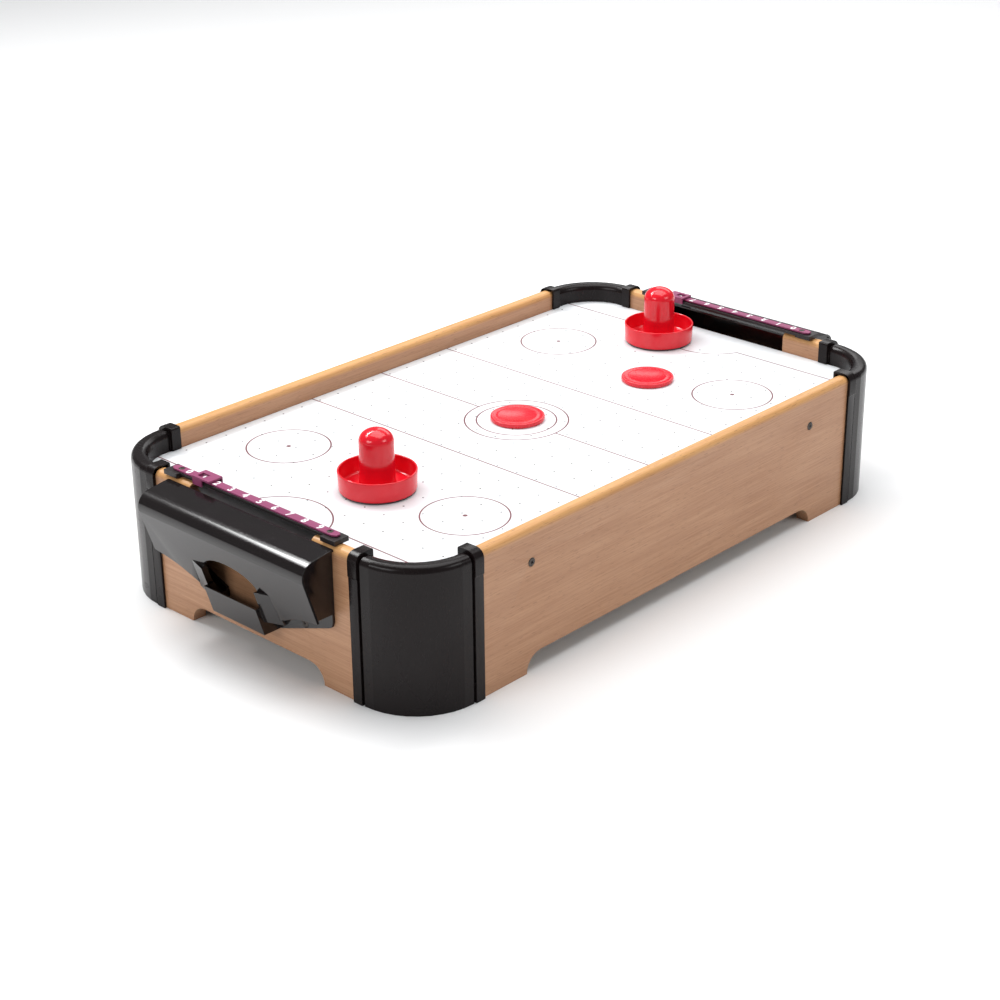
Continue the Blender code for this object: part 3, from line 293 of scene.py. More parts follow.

# %% [markdown]
# The panels are fibreboard in a printed beech wrap. Real beech shows long pale bands, fine
# darker lines and short pores, all running the same way. Contours of a noise that is
# stretched along the board give the bands, because sawn growth rings are contours too.
# Faces that point down are given a darker, speckled colour and a rougher finish.

# %% Beech wrap
BEECH_PALE = (0.520, 0.285, 0.158)
BEECH_DEEP = (0.370, 0.178, 0.090)
BEECH_PORE = (0.215, 0.092, 0.042)
# Painted light: the rail top gets a lighter, more orange copy of the wrap's colours, for the light that
# falls on it from above.
RAIL_PAINTED_LIGHT_PALE = (0.700, 0.385, 0.150)
RAIL_PAINTED_LIGHT_DEEP = (0.530, 0.250, 0.082)
RAIL_TOP_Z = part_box("side_panel_right")[1].z
DOWN_FACE_DARK = (0.330, 0.205, 0.115)
DOWN_FACE_PALE = (0.460, 0.310, 0.190)
PAINTED_LIGHT_SPAN = (6 * MM, 1.2 * MM)
RING_WIDTH = 42 * MM
RING_LENGTH = 520 * MM
RING_COUNT = 9.0
TONE_WIDTH = 9 * MM
TONE_LENGTH = 240 * MM
GRAIN_LENGTH = 60 * MM
GRAIN_WIDTH = 0.9 * MM
PORE_LENGTH = 7 * MM
PORE_WIDTH = 0.45 * MM
PORE_SHADE = 0.55


def stretched(look, across_size, along_size, along, shift=0.0):
    """Coordinates for a pattern that is narrow across the grain and long along it."""
    scale = [1 / across_size] * 3
    scale["XYZ".index(along)] = 1 / along_size
    return look.scaled(tuple(scale), (shift, shift, shift))


def make_wood(name, along):
    look = Look(name, specular_ior_level=0.45)
    rings = look.noise(1.0, 2.0, 0.4, stretched(look, RING_WIDTH, RING_LENGTH, along, 3.1))
    bands = (rings * RING_COUNT).zigzag(0.5) * 2.0
    tone = look.noise(1.0, 2.0, 0.5, stretched(look, TONE_WIDTH, TONE_LENGTH, along))
    streaks = look.noise(1.0, 3.0, 0.6, stretched(look, GRAIN_WIDTH, GRAIN_LENGTH, along))
    fine = look.smooth(streaks, 0.30, 0.70)
    pores = look.noise(1.0, 1.0, 0.5, stretched(look, PORE_WIDTH, PORE_LENGTH, along, 1.7))
    pore_mask = look.smooth(pores, 0.63, 0.74)
    mix = bands * 0.26 + tone * 0.42 + fine * 0.52 - 0.17
    side = look.mix(mix, BEECH_PALE, BEECH_DEEP)
    # Painted light: the top few millimetres of each panel turn lighter and more orange, as light from
    # above makes them look.
    lit_rail_colour = look.mix(mix, RAIL_PAINTED_LIGHT_PALE, RAIL_PAINTED_LIGHT_DEEP)
    height = look.axes()[2]
    painted_top_light = look.smooth(height, RAIL_TOP_Z - PAINTED_LIGHT_SPAN[0], RAIL_TOP_Z - PAINTED_LIGHT_SPAN[1])
    colour = look.mix(painted_top_light, side, lit_rail_colour)
    colour = look.mix(pore_mask * PORE_SHADE, colour, BEECH_PORE)
    # Faces that point down turn darker, speckled and rougher.
    normal = look.node("ShaderNodeNewGeometry", {}, {}, output=3)
    down = look.node("ShaderNodeSeparateXYZ", {}, {0: normal}, output=2)
    down_facing = look.smooth(down, -0.55, -0.75)
    speckle = look.noise(900.0, 2.0, 0.7)
    down_face_colour = look.mix(look.smooth(speckle, 0.35, 0.7), DOWN_FACE_DARK, DOWN_FACE_PALE)
    look.feed("Base Color", look.mix(down_facing, colour, down_face_colour))
    look.feed("Roughness", 0.34 + fine * 0.16 + down_facing * 0.35)
    look.bump(fine * 0.5 - pore_mask * 0.5, 0.12, 0.05 * MM)
    return look.material


WOOD_ALONG_Y = make_wood("beech_wrap_side", "Y")
WOOD_ALONG_X = make_wood("beech_wrap_end", "X")
print("beech wrap made for the sides and the ends")

# %% [markdown]
# The hidden wood is plain. The base board is raw fibreboard, so it shows a felted mat of
# fibres with cloudy clumps and no grain at all. The battens are sawn softwood, with wide
# yellow growth bands along their length and a rough, dry skin.

# %% Fibreboard and softwood
FIBRE_DARK = (0.300, 0.185, 0.100)
FIBRE_PALE = (0.500, 0.340, 0.210)
SOFTWOOD_PALE = (0.660, 0.470, 0.270)
SOFTWOOD_DEEP = (0.500, 0.300, 0.140)
SAP_RING_WIDTH = 14 * MM
SAP_RING_LENGTH = 420 * MM
SAP_RING_COUNT = 12.0
SAP_GRAIN_WIDTH = 0.5 * MM
SAP_GRAIN_LENGTH = 20 * MM


def make_fibreboard():
    look = Look("fibreboard", roughness=0.82)
    fibres = look.noise(700.0, 6.0, 0.75, distortion=1.2)
    clumps = look.noise(60.0, 3.0, 0.5)
    tone = fibres * 0.8 + clumps * 0.3 - 0.1
    look.feed("Base Color", look.mix(tone, FIBRE_DARK, FIBRE_PALE))
    look.bump(fibres, 0.35, 0.1 * MM)
    return look.material


def make_softwood(name, along):
    look = Look(name, roughness=0.7)
    rings = look.noise(1.0, 1.0, 0.4, stretched(look, SAP_RING_WIDTH, SAP_RING_LENGTH, along, 0.6))
    bands = (rings * SAP_RING_COUNT).zigzag(0.5) * 2.0
    grain = stretched(look, SAP_GRAIN_WIDTH, SAP_GRAIN_LENGTH, along)
    fine = look.noise(1.0, 3.0, 0.6, grain)
    tone = bands * 0.55 + fine * 0.4
    look.feed("Base Color", look.mix(tone, SOFTWOOD_PALE, SOFTWOOD_DEEP))
    look.bump(fine, 0.3, 0.08 * MM)
    return look.material


FIBREBOARD = make_fibreboard()
SOFTWOOD_Y = make_softwood("softwood_side", "Y")
SOFTWOOD_X = make_softwood("softwood_end", "X")
print("fibreboard and softwood made")

# %% [markdown]
# The playing board is white laminate with thin dark red lines, screen-printed flat. Each line
# is the place where a distance is nearly zero: |y| for a straight line, and the distance to a
# centre less the radius for a circle. The rink is the same in all four quarters, so |x| and
# |y| draw every mark with a quarter of the sums.

# %% Printed playing board
LINE_WIDTH = 1.15 * MM
LINE_SOFT = 0.12 * MM
INK = (0.130, 0.006, 0.018)
LAMINATE = (0.80, 0.815, 0.83)
LAMINATE_HAZE = (0.77, 0.79, 0.81)
CORE_DARK = (0.40, 0.27, 0.16)
CORE_PALE = (0.52, 0.37, 0.24)
TOP_SKIN = (0.3 * MM, 0.1 * MM)
CENTRE_RADII = (38 * MM, 29.3 * MM)
ZONE_Y = 72 * MM
GOAL_LINE_Y = 218 * MM
CREASE_Y = 234 * MM
CREASE_RADIUS = 38.8 * MM
CREASE_HALF = 35 * MM
SPOT = (87 * MM, 144 * MM)
SPOT_RADIUS = 30 * MM
SPOT_DOT = 1.7 * MM


def make_rink():
    look = Look("rink_print", specular_ior_level=0.4)
    x, y, z = look.axes()
    across = abs(x)
    along = abs(y)

    def ink(distance):
        return look.smooth(abs(distance), LINE_WIDTH / 2 + LINE_SOFT, LINE_WIDTH / 2 - LINE_SOFT)

    def distance_to(u, v):
        return ((across - u) * (across - u) + (along - v) * (along - v)) ** 0.5

    from_centre = distance_to(0, 0)
    from_spot = distance_to(*SPOT)
    crease = distance_to(0, CREASE_Y)
    marks = ink(y) * (from_centre > CENTRE_RADII[0])
    for radius in CENTRE_RADII:
        marks = marks.larger(ink(from_centre - radius))
    marks = marks.larger(ink(along - ZONE_Y))
    marks = marks.larger(ink(along - GOAL_LINE_Y) * (across > CREASE_HALF))
    marks = marks.larger(ink(crease - CREASE_RADIUS) * (along < GOAL_LINE_Y))
    marks = marks.larger(ink(from_spot - SPOT_RADIUS))
    marks = marks.larger(look.smooth(from_spot, SPOT_DOT + LINE_SOFT, SPOT_DOT - LINE_SOFT))
    on_top = look.smooth(z, FIELD_Z - TOP_SKIN[0], FIELD_Z - TOP_SKIN[1])
    wear = look.noise(2600.0, 2.0, 0.6)
    strength = marks * on_top * (0.86 + wear * 0.2)
    haze = look.noise(9.0, 3.0, 0.5)
    white = look.mix(haze, LAMINATE, LAMINATE_HAZE)
    core = look.mix(look.noise(600.0, 3.0, 0.7), CORE_DARK, CORE_PALE)
    face = look.mix(strength, white, INK)
    look.feed("Base Color", look.mix(on_top, core, face))
    scuffs = look.noise(1.0, 5.0, 0.7, look.scaled((38, 7, 38)), 0.8)
    look.feed("Roughness", 0.27 + scuffs * 0.16 + strength * 0.1)
    look.bump(look.noise(420.0, 2.0, 0.5), 0.03, 0.05 * MM)
    return look.material


RINK = make_rink()
print("rink print made")

# %% [markdown]
# The mouldings differ in colour and in gloss. The corners are black with a satin skin, the
# hoods are polished black, the score parts are matt purple, and pushers and pucks are bright
# red. Moulded skin is never a mirror: it has a faint orange peel, slow waves where the wall
# cooled, and fine rubbed scratches that only change the roughness.

# %% Moulded plastics


def make_plastic(name, colour, deep, roughness, peel, rub, **constants):
    look = Look(name, **constants)
    cloud = look.noise(24.0, 3.0, 0.5)
    grit = look.noise(1800.0, 3.0, 0.6)
    rubbed = look.noise(1.0, 6.0, 0.75, look.scaled((90, 260, 60)), 1.5)
    look.feed("Base Color", look.mix(cloud, colour, deep))
    rubs = look.smooth(rubbed, 0.52, 0.72) * rub
    look.feed("Roughness", roughness + rubs + grit * 0.05)
    waves = look.noise(55.0, 1.0, 0.4)
    look.bump(grit * 0.25 + waves, peel, 0.1 * MM)
    return look.material


PLASTICS = {
    # name: (colour, deeper colour, roughness, peel, rubbed patches)
    "satin_black": ((0.010, 0.006, 0.006), (0.006, 0.004, 0.004), 0.22, 0.03, 0.10),
    "gloss_black": ((0.009, 0.006, 0.006), (0.006, 0.004, 0.004), 0.12, 0.02, 0.07),
    "beam_black": ((0.018, 0.013, 0.013), (0.012, 0.009, 0.009), 0.36, 0.05, 0.10),
    "score_purple": ((0.285, 0.045, 0.135), (0.235, 0.035, 0.110), 0.40, 0.06, 0.10),
    "gloss_red": ((0.800, 0.008, 0.022), (0.690, 0.006, 0.018), 0.13, 0.02, 0.08),
    "puck_red": ((0.760, 0.008, 0.024), (0.660, 0.006, 0.020), 0.24, 0.05, 0.14),
    "module_grey": ((0.090, 0.092, 0.098), (0.065, 0.067, 0.072), 0.48, 0.16, 0.10),
    "digit_white": ((0.860, 0.860, 0.860), (0.800, 0.800, 0.800), 0.40, 0.03, 0.10),
}
SHEEN = {
    # what the shader's own sockets are set to, where it is not the usual value
    "satin_black": {"specular_ior_level": 0.2},
    "gloss_black": {"specular_ior_level": 0.5},
    "beam_black": {"specular_ior_level": 0.35},
    "gloss_red": {"ior": 1.5},
}
MOULDED = {name: make_plastic(name, *row, **SHEEN.get(name, {})) for name, row in PLASTICS.items()}
POST_BLACK = MOULDED["satin_black"]
HOOD_BLACK = MOULDED["gloss_black"]
BEAM_BLACK = MOULDED["beam_black"]
PURPLE = MOULDED["score_purple"]
RED = MOULDED["gloss_red"]
PUCK_RED = MOULDED["puck_red"]
GREY = MOULDED["module_grey"]
DIGIT_WHITE = MOULDED["digit_white"]
print("plastics made:", ", ".join(MOULDED))

# %% [markdown]
# The screws are black-oxide steel, and the motor's can and the battery plates are plated
# steel. Both are metals with a brushed skin: noise drawn out along the sheet changes the
# roughness, and small spots take the shine off here and there.

# %% Metals
TARNISH = 0.7


def make_metal(name, colour, roughness, brushed_along=(30, 30, 2400)):
    look = Look(name, metallic=1.0)
    brush = look.noise(1.0, 4.0, 0.7, look.scaled(brushed_along))
    spots = look.noise(320.0, 3.0, 0.6)
    dark = tuple(channel * TARNISH for channel in colour)
    look.feed("Base Color", look.mix(look.smooth(spots, 0.45, 0.7), colour, dark))
    look.feed("Roughness", roughness + brush * 0.18)
    look.bump(brush, 0.08, 0.03 * MM)
    return look.material


BLACK_STEEL = make_metal("black_oxide", (0.085, 0.075, 0.068), 0.30)
PLATED_STEEL = make_metal("plated_steel", (0.72, 0.72, 0.70), 0.20)
print("metals made")

# %% [markdown]
# Felt under a pusher lets it glide on the board. Its fibres scatter light at a grazing angle,
# which the shader's sheen gives, and a deep fine noise stands for the nap. A wire's skin is
# soft and slightly streaked along its length. An air hole is too narrow to let light out
# again, so its finish is nothing but shade.

# %% Felt, wire skin and shade
FELT_DARK = (0.020, 0.020, 0.024)
FELT_PALE = (0.085, 0.085, 0.095)
WIRE_DEEP = (0.300, 0.012, 0.012)
WIRE_BRIGHT = (0.420, 0.030, 0.025)
SHADE_DEEP = (0.012, 0.008, 0.009)
SHADE_PALE = (0.050, 0.035, 0.040)


def make_felt():
    look = Look("slip_felt", sheen_weight=0.5)
    fibres = look.noise(2600.0, 5.0, 0.8, distortion=2.0)
    look.feed("Base Color", look.mix(fibres, FELT_DARK, FELT_PALE))
    look.feed("Roughness", 0.9 + fibres * 0.1)
    look.bump(fibres, 0.7, 0.2 * MM)
    return look.material


def make_shade():
    look = Look("bore_shade", roughness=0.8)
    grain = look.noise(5200.0, 2.0, 0.6)
    look.feed("Base Color", look.mix(grain, SHADE_DEEP, SHADE_PALE))
    return look.material


def make_wire_skin():
    look = Look("wire_skin")
    streaks = look.noise(1.0, 3.0, 0.6, look.scaled((1500, 80, 1500)))
    look.feed("Base Color", look.mix(streaks, WIRE_DEEP, WIRE_BRIGHT))
    look.feed("Roughness", 0.36 + streaks * 0.14)
    look.bump(streaks, 0.05, 0.05 * MM)
    return look.material


FELT = make_felt()
SHADE = make_shade()
WIRE_SKIN = make_wire_skin()
print("felt, shade and wire skin made")

# %% [markdown]
# A cell wears a printed sleeve, dark for most of its length and copper-coloured by its raised
# end. The four lie side by side and face opposite ways in turn, so the sleeve reads its lane
# from x and the way it faces from whether that lane's number is odd.

# %% Cell sleeve
CELL_PITCH = 15.2 * MM
CELL_MIDDLE_Y = sum(corner.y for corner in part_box("battery_1")) / 2
BAND_START = 11.0 * MM
BAND_FADE = 0.3 * MM
SLEEVE_DARK = (0.012, 0.014, 0.018)
SLEEVE_COPPER = (0.520, 0.200, 0.075)


def make_sleeve():
    look = Look("cell_sleeve", specular_ior_level=0.6)
    x, y, z = look.axes()
    lane = (x / CELL_PITCH).floor()
    facing = lane.maths("MODULO", abs(lane), 2.0) * 2.0 - 1.0
    past = (y - CELL_MIDDLE_Y) * facing
    band = look.smooth(past, BAND_START, BAND_START + BAND_FADE)
    scratches = look.noise(1.0, 3.0, 0.6, look.scaled((900, 60, 900)))
    look.feed("Base Color", look.mix(band, SLEEVE_DARK, SLEEVE_COPPER))
    look.feed("Metallic", band * 0.85)
    look.feed("Roughness", 0.2 + scratches * 0.2)
    return look.material


SLEEVE = make_sleeve()
print("cell sleeve made")

# %% [markdown]
# The working model's meshes are loose triangles with knife edges. A moulded or sawn edge has
# a small radius that catches light. Each such piece is copied, its triangles are merged back
# into faces, and a narrow Bevel rounds the sharp edges. The copy then stands in for the node.
# These helpers link a finished mesh, make the merged copy, and apply modifiers to it.

# %% Copies and pieces
MERGE = 0.004 * MM
FLAT_ANGLE = math.radians(0.6)


def add_piece(name, mesh, finish, body, *replaced):
    """Links a finished mesh at the origin, gives it its body, and hides the nodes it stands for."""
    mesh.name = name
    if finish:
        mesh.materials.clear()
        mesh.materials.append(finish)
    piece = bpy.data.objects.new(name, mesh)
    bpy.context.scene.collection.objects.link(piece)
    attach(piece, body)
    if replaced:
        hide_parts(*replaced)
    return piece


def merged_copy(node):
    """A node's mesh with its loose triangles joined and its flat faces made whole."""
    shape = bmesh.new()
    shape.from_mesh(NODES[node].data)
    bmesh.ops.remove_doubles(shape, verts=shape.verts, dist=MERGE)
    bmesh.ops.dissolve_degenerate(shape, dist=MERGE, edges=shape.edges)
    bmesh.ops.dissolve_limit(shape, angle_limit=FLAT_ANGLE, verts=shape.verts, edges=shape.edges)
    mesh = bpy.data.meshes.new(node)
    shape.to_mesh(mesh)
    shape.free()
    return mesh


def baked(mesh, *modifiers):
    """The mesh with the modifiers applied, each given as (type, settings)."""
    holder = bpy.data.objects.new("holder", mesh)
    bpy.context.scene.collection.objects.link(holder)
    for kind, settings in modifiers:
        modifier = holder.modifiers.new(kind, kind)
        for key, value in settings.items():
            setattr(modifier, key, value)
    graph = bpy.context.evaluated_depsgraph_get()
    result = bpy.data.meshes.new_from_object(holder.evaluated_get(graph))
    bpy.data.objects.remove(holder)
    return result


print("merged copies can be made")

# %% [markdown]
# Each row below gives some nodes, their finish and the radius of their edges: a wrapped panel
# is crisp, a sawn batten or a rubbed bar is rounder. Only edges sharper than the edge angle
# are rounded, so the facets of a curved wall stay one smooth surface.

# %% Soft edges
EDGE_ANGLE = math.radians(24)
EDGE_SEGMENTS = 2


def softened(node, finish, radius):
    settings = {"width": radius, "segments": EDGE_SEGMENTS, "harden_normals": True}
    settings.update({"limit_method": "ANGLE", "angle_limit": EDGE_ANGLE})
    settings.update({"use_clamp_overlap": False, "miter_outer": "MITER_ARC"})
    source = merged_copy(node)
    source.shade_smooth()
    source.set_sharp_from_angle(angle=EDGE_ANGLE)
    mesh = baked(source, ("BEVEL", settings))
    return add_piece(f"{node}_finished", mesh, finish, BODY_OF[node], node)


SOFT_EDGES = (
    # nodes, finish, edge radius
    (("side_panel_left", "side_panel_right"), WOOD_ALONG_Y, 0.25 * MM),
    (("end_panel_near", "end_panel_far"), WOOD_ALONG_X, 0.25 * MM),
    (("side_batten_left", "side_batten_right"), SOFTWOOD_Y, 0.3 * MM),
    (("end_batten_near", "end_batten_far"), SOFTWOOD_X, 0.3 * MM),
    (("play_board",), RINK, 0.1 * MM),
    (("base_board",), FIBREBOARD, 0.1 * MM),
    (("goal_hood_near", "goal_hood_far"), HOOD_BLACK, 0.2 * MM),
    (("score_beam_near", "score_beam_far"), BEAM_BLACK, 0.3 * MM),
    (("score_strip_near", "score_strip_far"), PURPLE, 0.15 * MM),
    (("score_slider_near", "score_slider_far"), PURPLE, 0.2 * MM),
    (("fan_housing", "battery_box", "battery_door", "switch_body"), GREY, 0.15 * MM),
    (("fan_impeller",), GREY, 0.15 * MM),
    (("switch_rocker",), RED, 0.3 * MM),
    (("battery_contact_1", "battery_contact_2"), PLATED_STEEL, 0.1 * MM),
)
for nodes, finish, radius in SOFT_EDGES:
    for node in nodes:
        softened(node, finish, radius)
POST_RADIUS = 0.3 * MM
POSTS = [node for node in NODES if node.startswith("corner_post")]
for node in POSTS:
    softened(node, POST_BLACK, POST_RADIUS)
print("softened pieces:", sum(len(row[0]) for row in SOFT_EDGES) + len(POSTS))

# %% [markdown]
# Pushers, pucks and felts are round, so each is one outline of (radius, height) points, spun
# about an upright line through its own middle. Doubles are merged after the spin and before
# the normals are worked out, so that every face points outwards.

# %% Turned shapes
TURN_STEPS = 96
SMOOTH_UNDER = 30


def arc(centre, radii, start, end, steps):
    points = []
    for i in range(steps + 1):
        angle = math.radians(start + (end - start) * i / steps)
        points.append((centre[0] + radii[0] * math.cos(angle), centre[1] + radii[1] * math.sin(angle)))
    return points


def turned(profile, centre, steps=TURN_STEPS, smooth_angle=SMOOTH_UNDER):
    """A profile spun about an upright line. Off the axis, its two ends are joined into a ring."""
    shape = bmesh.new()
    verts = [shape.verts.new((radius, 0, height)) for radius, height in profile]
    edges = [shape.edges.new(pair) for pair in zip(verts, verts[1:])]
    if profile[0][0] > 0:
        edges.append(shape.edges.new((verts[-1], verts[0])))
    spin = {"cent": (0, 0, 0), "axis": (0, 0, 1), "angle": 2 * math.pi, "steps": steps}
    bmesh.ops.spin(shape, geom=verts + edges, **spin)
    bmesh.ops.remove_doubles(shape, verts=shape.verts, dist=MERGE / 4)
    bmesh.ops.recalc_face_normals(shape, faces=shape.faces)
    bmesh.ops.translate(shape, verts=shape.verts, vec=centre)
    mesh = bpy.data.meshes.new("turned")
    shape.to_mesh(mesh)
    shape.free()
    mesh.shade_smooth()
    mesh.set_sharp_from_angle(angle=math.radians(smooth_angle))
    return mesh


def middle_of(node):
    """A node's middle in plan, at the height of the playing surface."""
    low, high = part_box(node)
    return Vector(((low.x + high.x) / 2, (low.y + high.y) / 2, FIELD_Z))


def round_facts(node):
    """A round node's outer radius, and its base and top above the playing surface."""
    low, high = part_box(node)
    return (high.x - low.x) / 2, low.z - FIELD_Z, high.z - FIELD_Z


print("outlines can be spun in", TURN_STEPS, "steps")

# %% [markdown]
# A pusher is one thin moulding: a rimmed cup with a hollow knob in its middle, open below. The
# outline starts under the knob's dome, goes down the bore, out along the base, up and over the
# rounded rim, and in across the cup's floor with a fillet at each wall. It then climbs the
# knob, which tapers a little so that it leaves the mould, and closes over the dome. The felt
# under it is a flat ring with rolled edges.

# %% Pushers and their felts
CUP_WALL = 1.3 * MM
CUP_HEIGHT = 15.4 * MM
CUP_FLOOR = 3.2 * MM
CUP_FILLET = 2 * MM
CUP_DRAFT = 0.5 * MM
BASE_ROUND = 0.5 * MM
KNOB_RADIUS = 12 * MM
KNOB_TAPER = ((12.3 * MM, 13 * MM), (12.1 * MM, 24 * MM), (12.0 * MM, 33 * MM))
KNOB_SHOULDER = 35.8 * MM
KNOB_FILLET = 1.8 * MM
KNOB_FILLET_PLACE = (14.55 * MM, 5.0 * MM)
BORE_RADIUS = 10.4 * MM
BORE_TOP = 34.2 * MM
BORE_DOME = 7.3 * MM
BORE_CHAMFER = 0.3 * MM
DOME_WALL = 3.2 * MM
FELT_BORE = 11.7 * MM
FELT_CHAMFER = 0.2 * MM
FELT_ROUND = 0.25 * MM


def pusher_profile(node):
    rim, base, top = round_facts(node)
    foot = rim - CUP_DRAFT
    lip = CUP_WALL / 2
    points = [(0, top - DOME_WALL)]
    points += arc((0, BORE_TOP), (BORE_RADIUS, BORE_DOME), 90, 0, 8)[1:]
    points += [(BORE_RADIUS, base + BORE_CHAMFER), (BORE_RADIUS + BORE_CHAMFER, base)]
    points += [(foot - 0.4 * MM, base)]
    points += arc((foot - BASE_ROUND, base + BASE_ROUND), (BASE_ROUND, BASE_ROUND), -80, 0, 3)
    points += arc((rim - lip, CUP_HEIGHT - lip), (lip, lip), 0, 180, 8)
    corner = (foot - CUP_WALL - CUP_FILLET, CUP_FLOOR + CUP_FILLET)
    points += arc(corner, (CUP_FILLET, CUP_FILLET), 0, -90, 6)
    points += arc(KNOB_FILLET_PLACE, (KNOB_FILLET, KNOB_FILLET), 270, 180, 6)
    points += KNOB_TAPER
    points += arc((0, KNOB_SHOULDER), (KNOB_RADIUS, top - KNOB_SHOULDER), 0, 90, 18)
    points[-1] = (0, top)
    return points


def felt_profile(node):
    outer, base, top = round_facts(node)
    points = [(FELT_BORE, top), (FELT_BORE, base + FELT_ROUND), (FELT_BORE + FELT_CHAMFER, base)]
    points += arc((outer - FELT_ROUND, base + FELT_ROUND), (FELT_ROUND, FELT_ROUND), -90, 90, 5)
    return points


for node in ("pusher_near", "pusher_far"):
    mesh = turned(pusher_profile(node), middle_of(node))
    add_piece(f"{node}_finished", mesh, RED, BODY_OF[node], node)
for node in ("pusher_felt_near", "pusher_felt_far"):
    mesh = turned(felt_profile(node), middle_of(node))
    add_piece(f"{node}_finished", mesh, FELT, BODY_OF[node], node)
print("pushers and felts stand on", round(FIELD_Z / MM, 1), "mm")

# %% [markdown]
# A puck is a solid disc with rounded corners. Its top has a narrow flat land at the edge and a
# shallow dish inside it, with one raised ring, and its base is slightly hollow, so that only a
# ring of it rubs on the board.

# %% Pucks
PUCK_CORNER = 0.6 * MM
PUCK_HOLLOW = 0.3 * MM
PUCK_RING_IN = 3.4 * MM
PUCK_RING_OUT = 3 * MM
DISH = (
    # (in from the edge, down from the top)
    (1.9 * MM, 0),
    (2.15 * MM, 0.14 * MM),
    (5.2 * MM, 0.16 * MM),
    (5.4 * MM, 0.07 * MM),
    (5.9 * MM, 0.07 * MM),
    (6.1 * MM, 0.17 * MM),
)
DISH_DEPTH = 0.2 * MM
PUCK_SMOOTH_UNDER = 50


def puck_profile(node):
    edge, base, top = round_facts(node)
    corner = (PUCK_CORNER, PUCK_CORNER)
    points = [(0, base + PUCK_HOLLOW), (edge - PUCK_RING_IN, base + PUCK_HOLLOW)]
    points += [(edge - PUCK_RING_OUT, base)]
    points += arc((edge - PUCK_CORNER, base + PUCK_CORNER), corner, -90, 0, 4)
    points += arc((edge - PUCK_CORNER, top - PUCK_CORNER), corner, 0, 90, 4)
    points += [(edge - inward, top - down) for inward, down in DISH]
    points += [(0, top - DISH_DEPTH)]
    return points


for node in ("puck_centre", "puck_far"):
    mesh = turned(puck_profile(node), middle_of(node), smooth_angle=PUCK_SMOOTH_UNDER)
    add_piece(f"{node}_finished", mesh, PUCK_RED, BODY_OF[node], node)
print("pucks made")

# %% [markdown]
# What repeats suits Geometry Nodes. These helpers open a tree with named inputs, add a node
# in one call, and close the tree by realizing its copies, because a copy that is not realized
# does not leave Blender. The tree then runs on a holder, and its plain result is kept.

# %% Trees of nodes


def new_tree(name, *inputs):
    """An empty Geometry Nodes tree with geometry in and out, and named inputs for its sizes."""
    tree = bpy.data.node_groups.new(name, "GeometryNodeTree")
    tree.interface.new_socket("Geometry", in_out="INPUT", socket_type="NodeSocketGeometry")
    for label, kind in inputs:
        tree.interface.new_socket(label, in_out="INPUT", socket_type=kind)
    tree.interface.new_socket("Geometry", in_out="OUTPUT", socket_type="NodeSocketGeometry")
    return tree, tree.nodes.new("NodeGroupInput"), tree.nodes.new("NodeGroupOutput")


def tree_node(tree, kind, settings=None, **sockets):
    """A tree node: settings first, then a value or an output socket for each input."""
    node = tree.nodes.new(kind)
    for key, value in (settings or {}).items():
        setattr(node, key, value)
    for key, value in sockets.items():
        socket = node.inputs[key.replace("_", " ")]
        if isinstance(value, bpy.types.NodeSocket):
            tree.links.new(value, socket)
        else:
            socket.default_value = value
    return node


def finish_tree(tree, out, geometry, material):
    realized = tree_node(tree, "GeometryNodeRealizeInstances", Geometry=geometry)
    coated = tree_node(tree, "GeometryNodeSetMaterial", Geometry=realized.outputs[0], Material=material)
    tree.links.new(coated.outputs[0], out.inputs[0])


def grown(mesh, tree, values):
    """Runs a tree on a mesh and returns the plain mesh it makes."""
    holder = bpy.data.objects.new("holder", mesh)
    bpy.context.scene.collection.objects.link(holder)
    modifier = holder.modifiers.new("nodes", "NODES")
    modifier.node_group = tree
    for item in tree.interface.items_tree:
        if item.in_out == "INPUT" and item.name in values:
            modifier[item.identifier] = values[item.name]
    graph = bpy.context.evaluated_depsgraph_get()
    result = bpy.data.meshes.new_from_object(holder.evaluated_get(graph))
    bpy.data.objects.remove(holder)
    return result


print("trees can be grown")

# %% [markdown]
# The board is drilled on a square grid, with some 370 holes less than two millimetres wide. A
# bore so narrow shows only its shade, so one dark disc for each hole stands for it, a hair
# above the board so that the two surfaces do not fight. A grid of points with a disc at each
# is the whole tree.

# %% Air holes
HOLE_PITCH = 18.2 * MM
HOLE_RADIUS = 0.7 * MM
HOLE_COLUMNS = 16
HOLE_ROWS = 23
HOLE_SHIFT = (1 * MM, 3 * MM)
HOLE_SIDES = 12
DISC_LIFT = 0.03 * MM


def hole_tree():
    sizes = (("Width", "NodeSocketFloat"), ("Length", "NodeSocketFloat"), ("Radius", "NodeSocketFloat"))
    counts = (("Columns", "NodeSocketInt"), ("Rows", "NodeSocketInt"), ("Place", "NodeSocketVector"))
    tree, inputs, out = new_tree("air_holes", *sizes, *counts, ("Material", "NodeSocketMaterial"))
    given = {socket.name: socket for socket in inputs.outputs}
    grid = tree_node(
        tree,
        "GeometryNodeMeshGrid",
        Size_X=given["Width"],
        Size_Y=given["Length"],
        Vertices_X=given["Columns"],
        Vertices_Y=given["Rows"],
    )
    moved = tree_node(
        tree,
        "GeometryNodeTransform",
        Geometry=grid.outputs[0],
        Translation=given["Place"],
    )
    disc = tree_node(
        tree,
        "GeometryNodeMeshCircle",
        {"fill_type": "NGON"},
        Vertices=HOLE_SIDES,
        Radius=given["Radius"],
    )
    placed = tree_node(
        tree,
        "GeometryNodeInstanceOnPoints",
        Points=moved.outputs[0],
        Instance=disc.outputs[0],
    )
    finish_tree(tree, out, placed.outputs[0], given["Material"])
    return tree


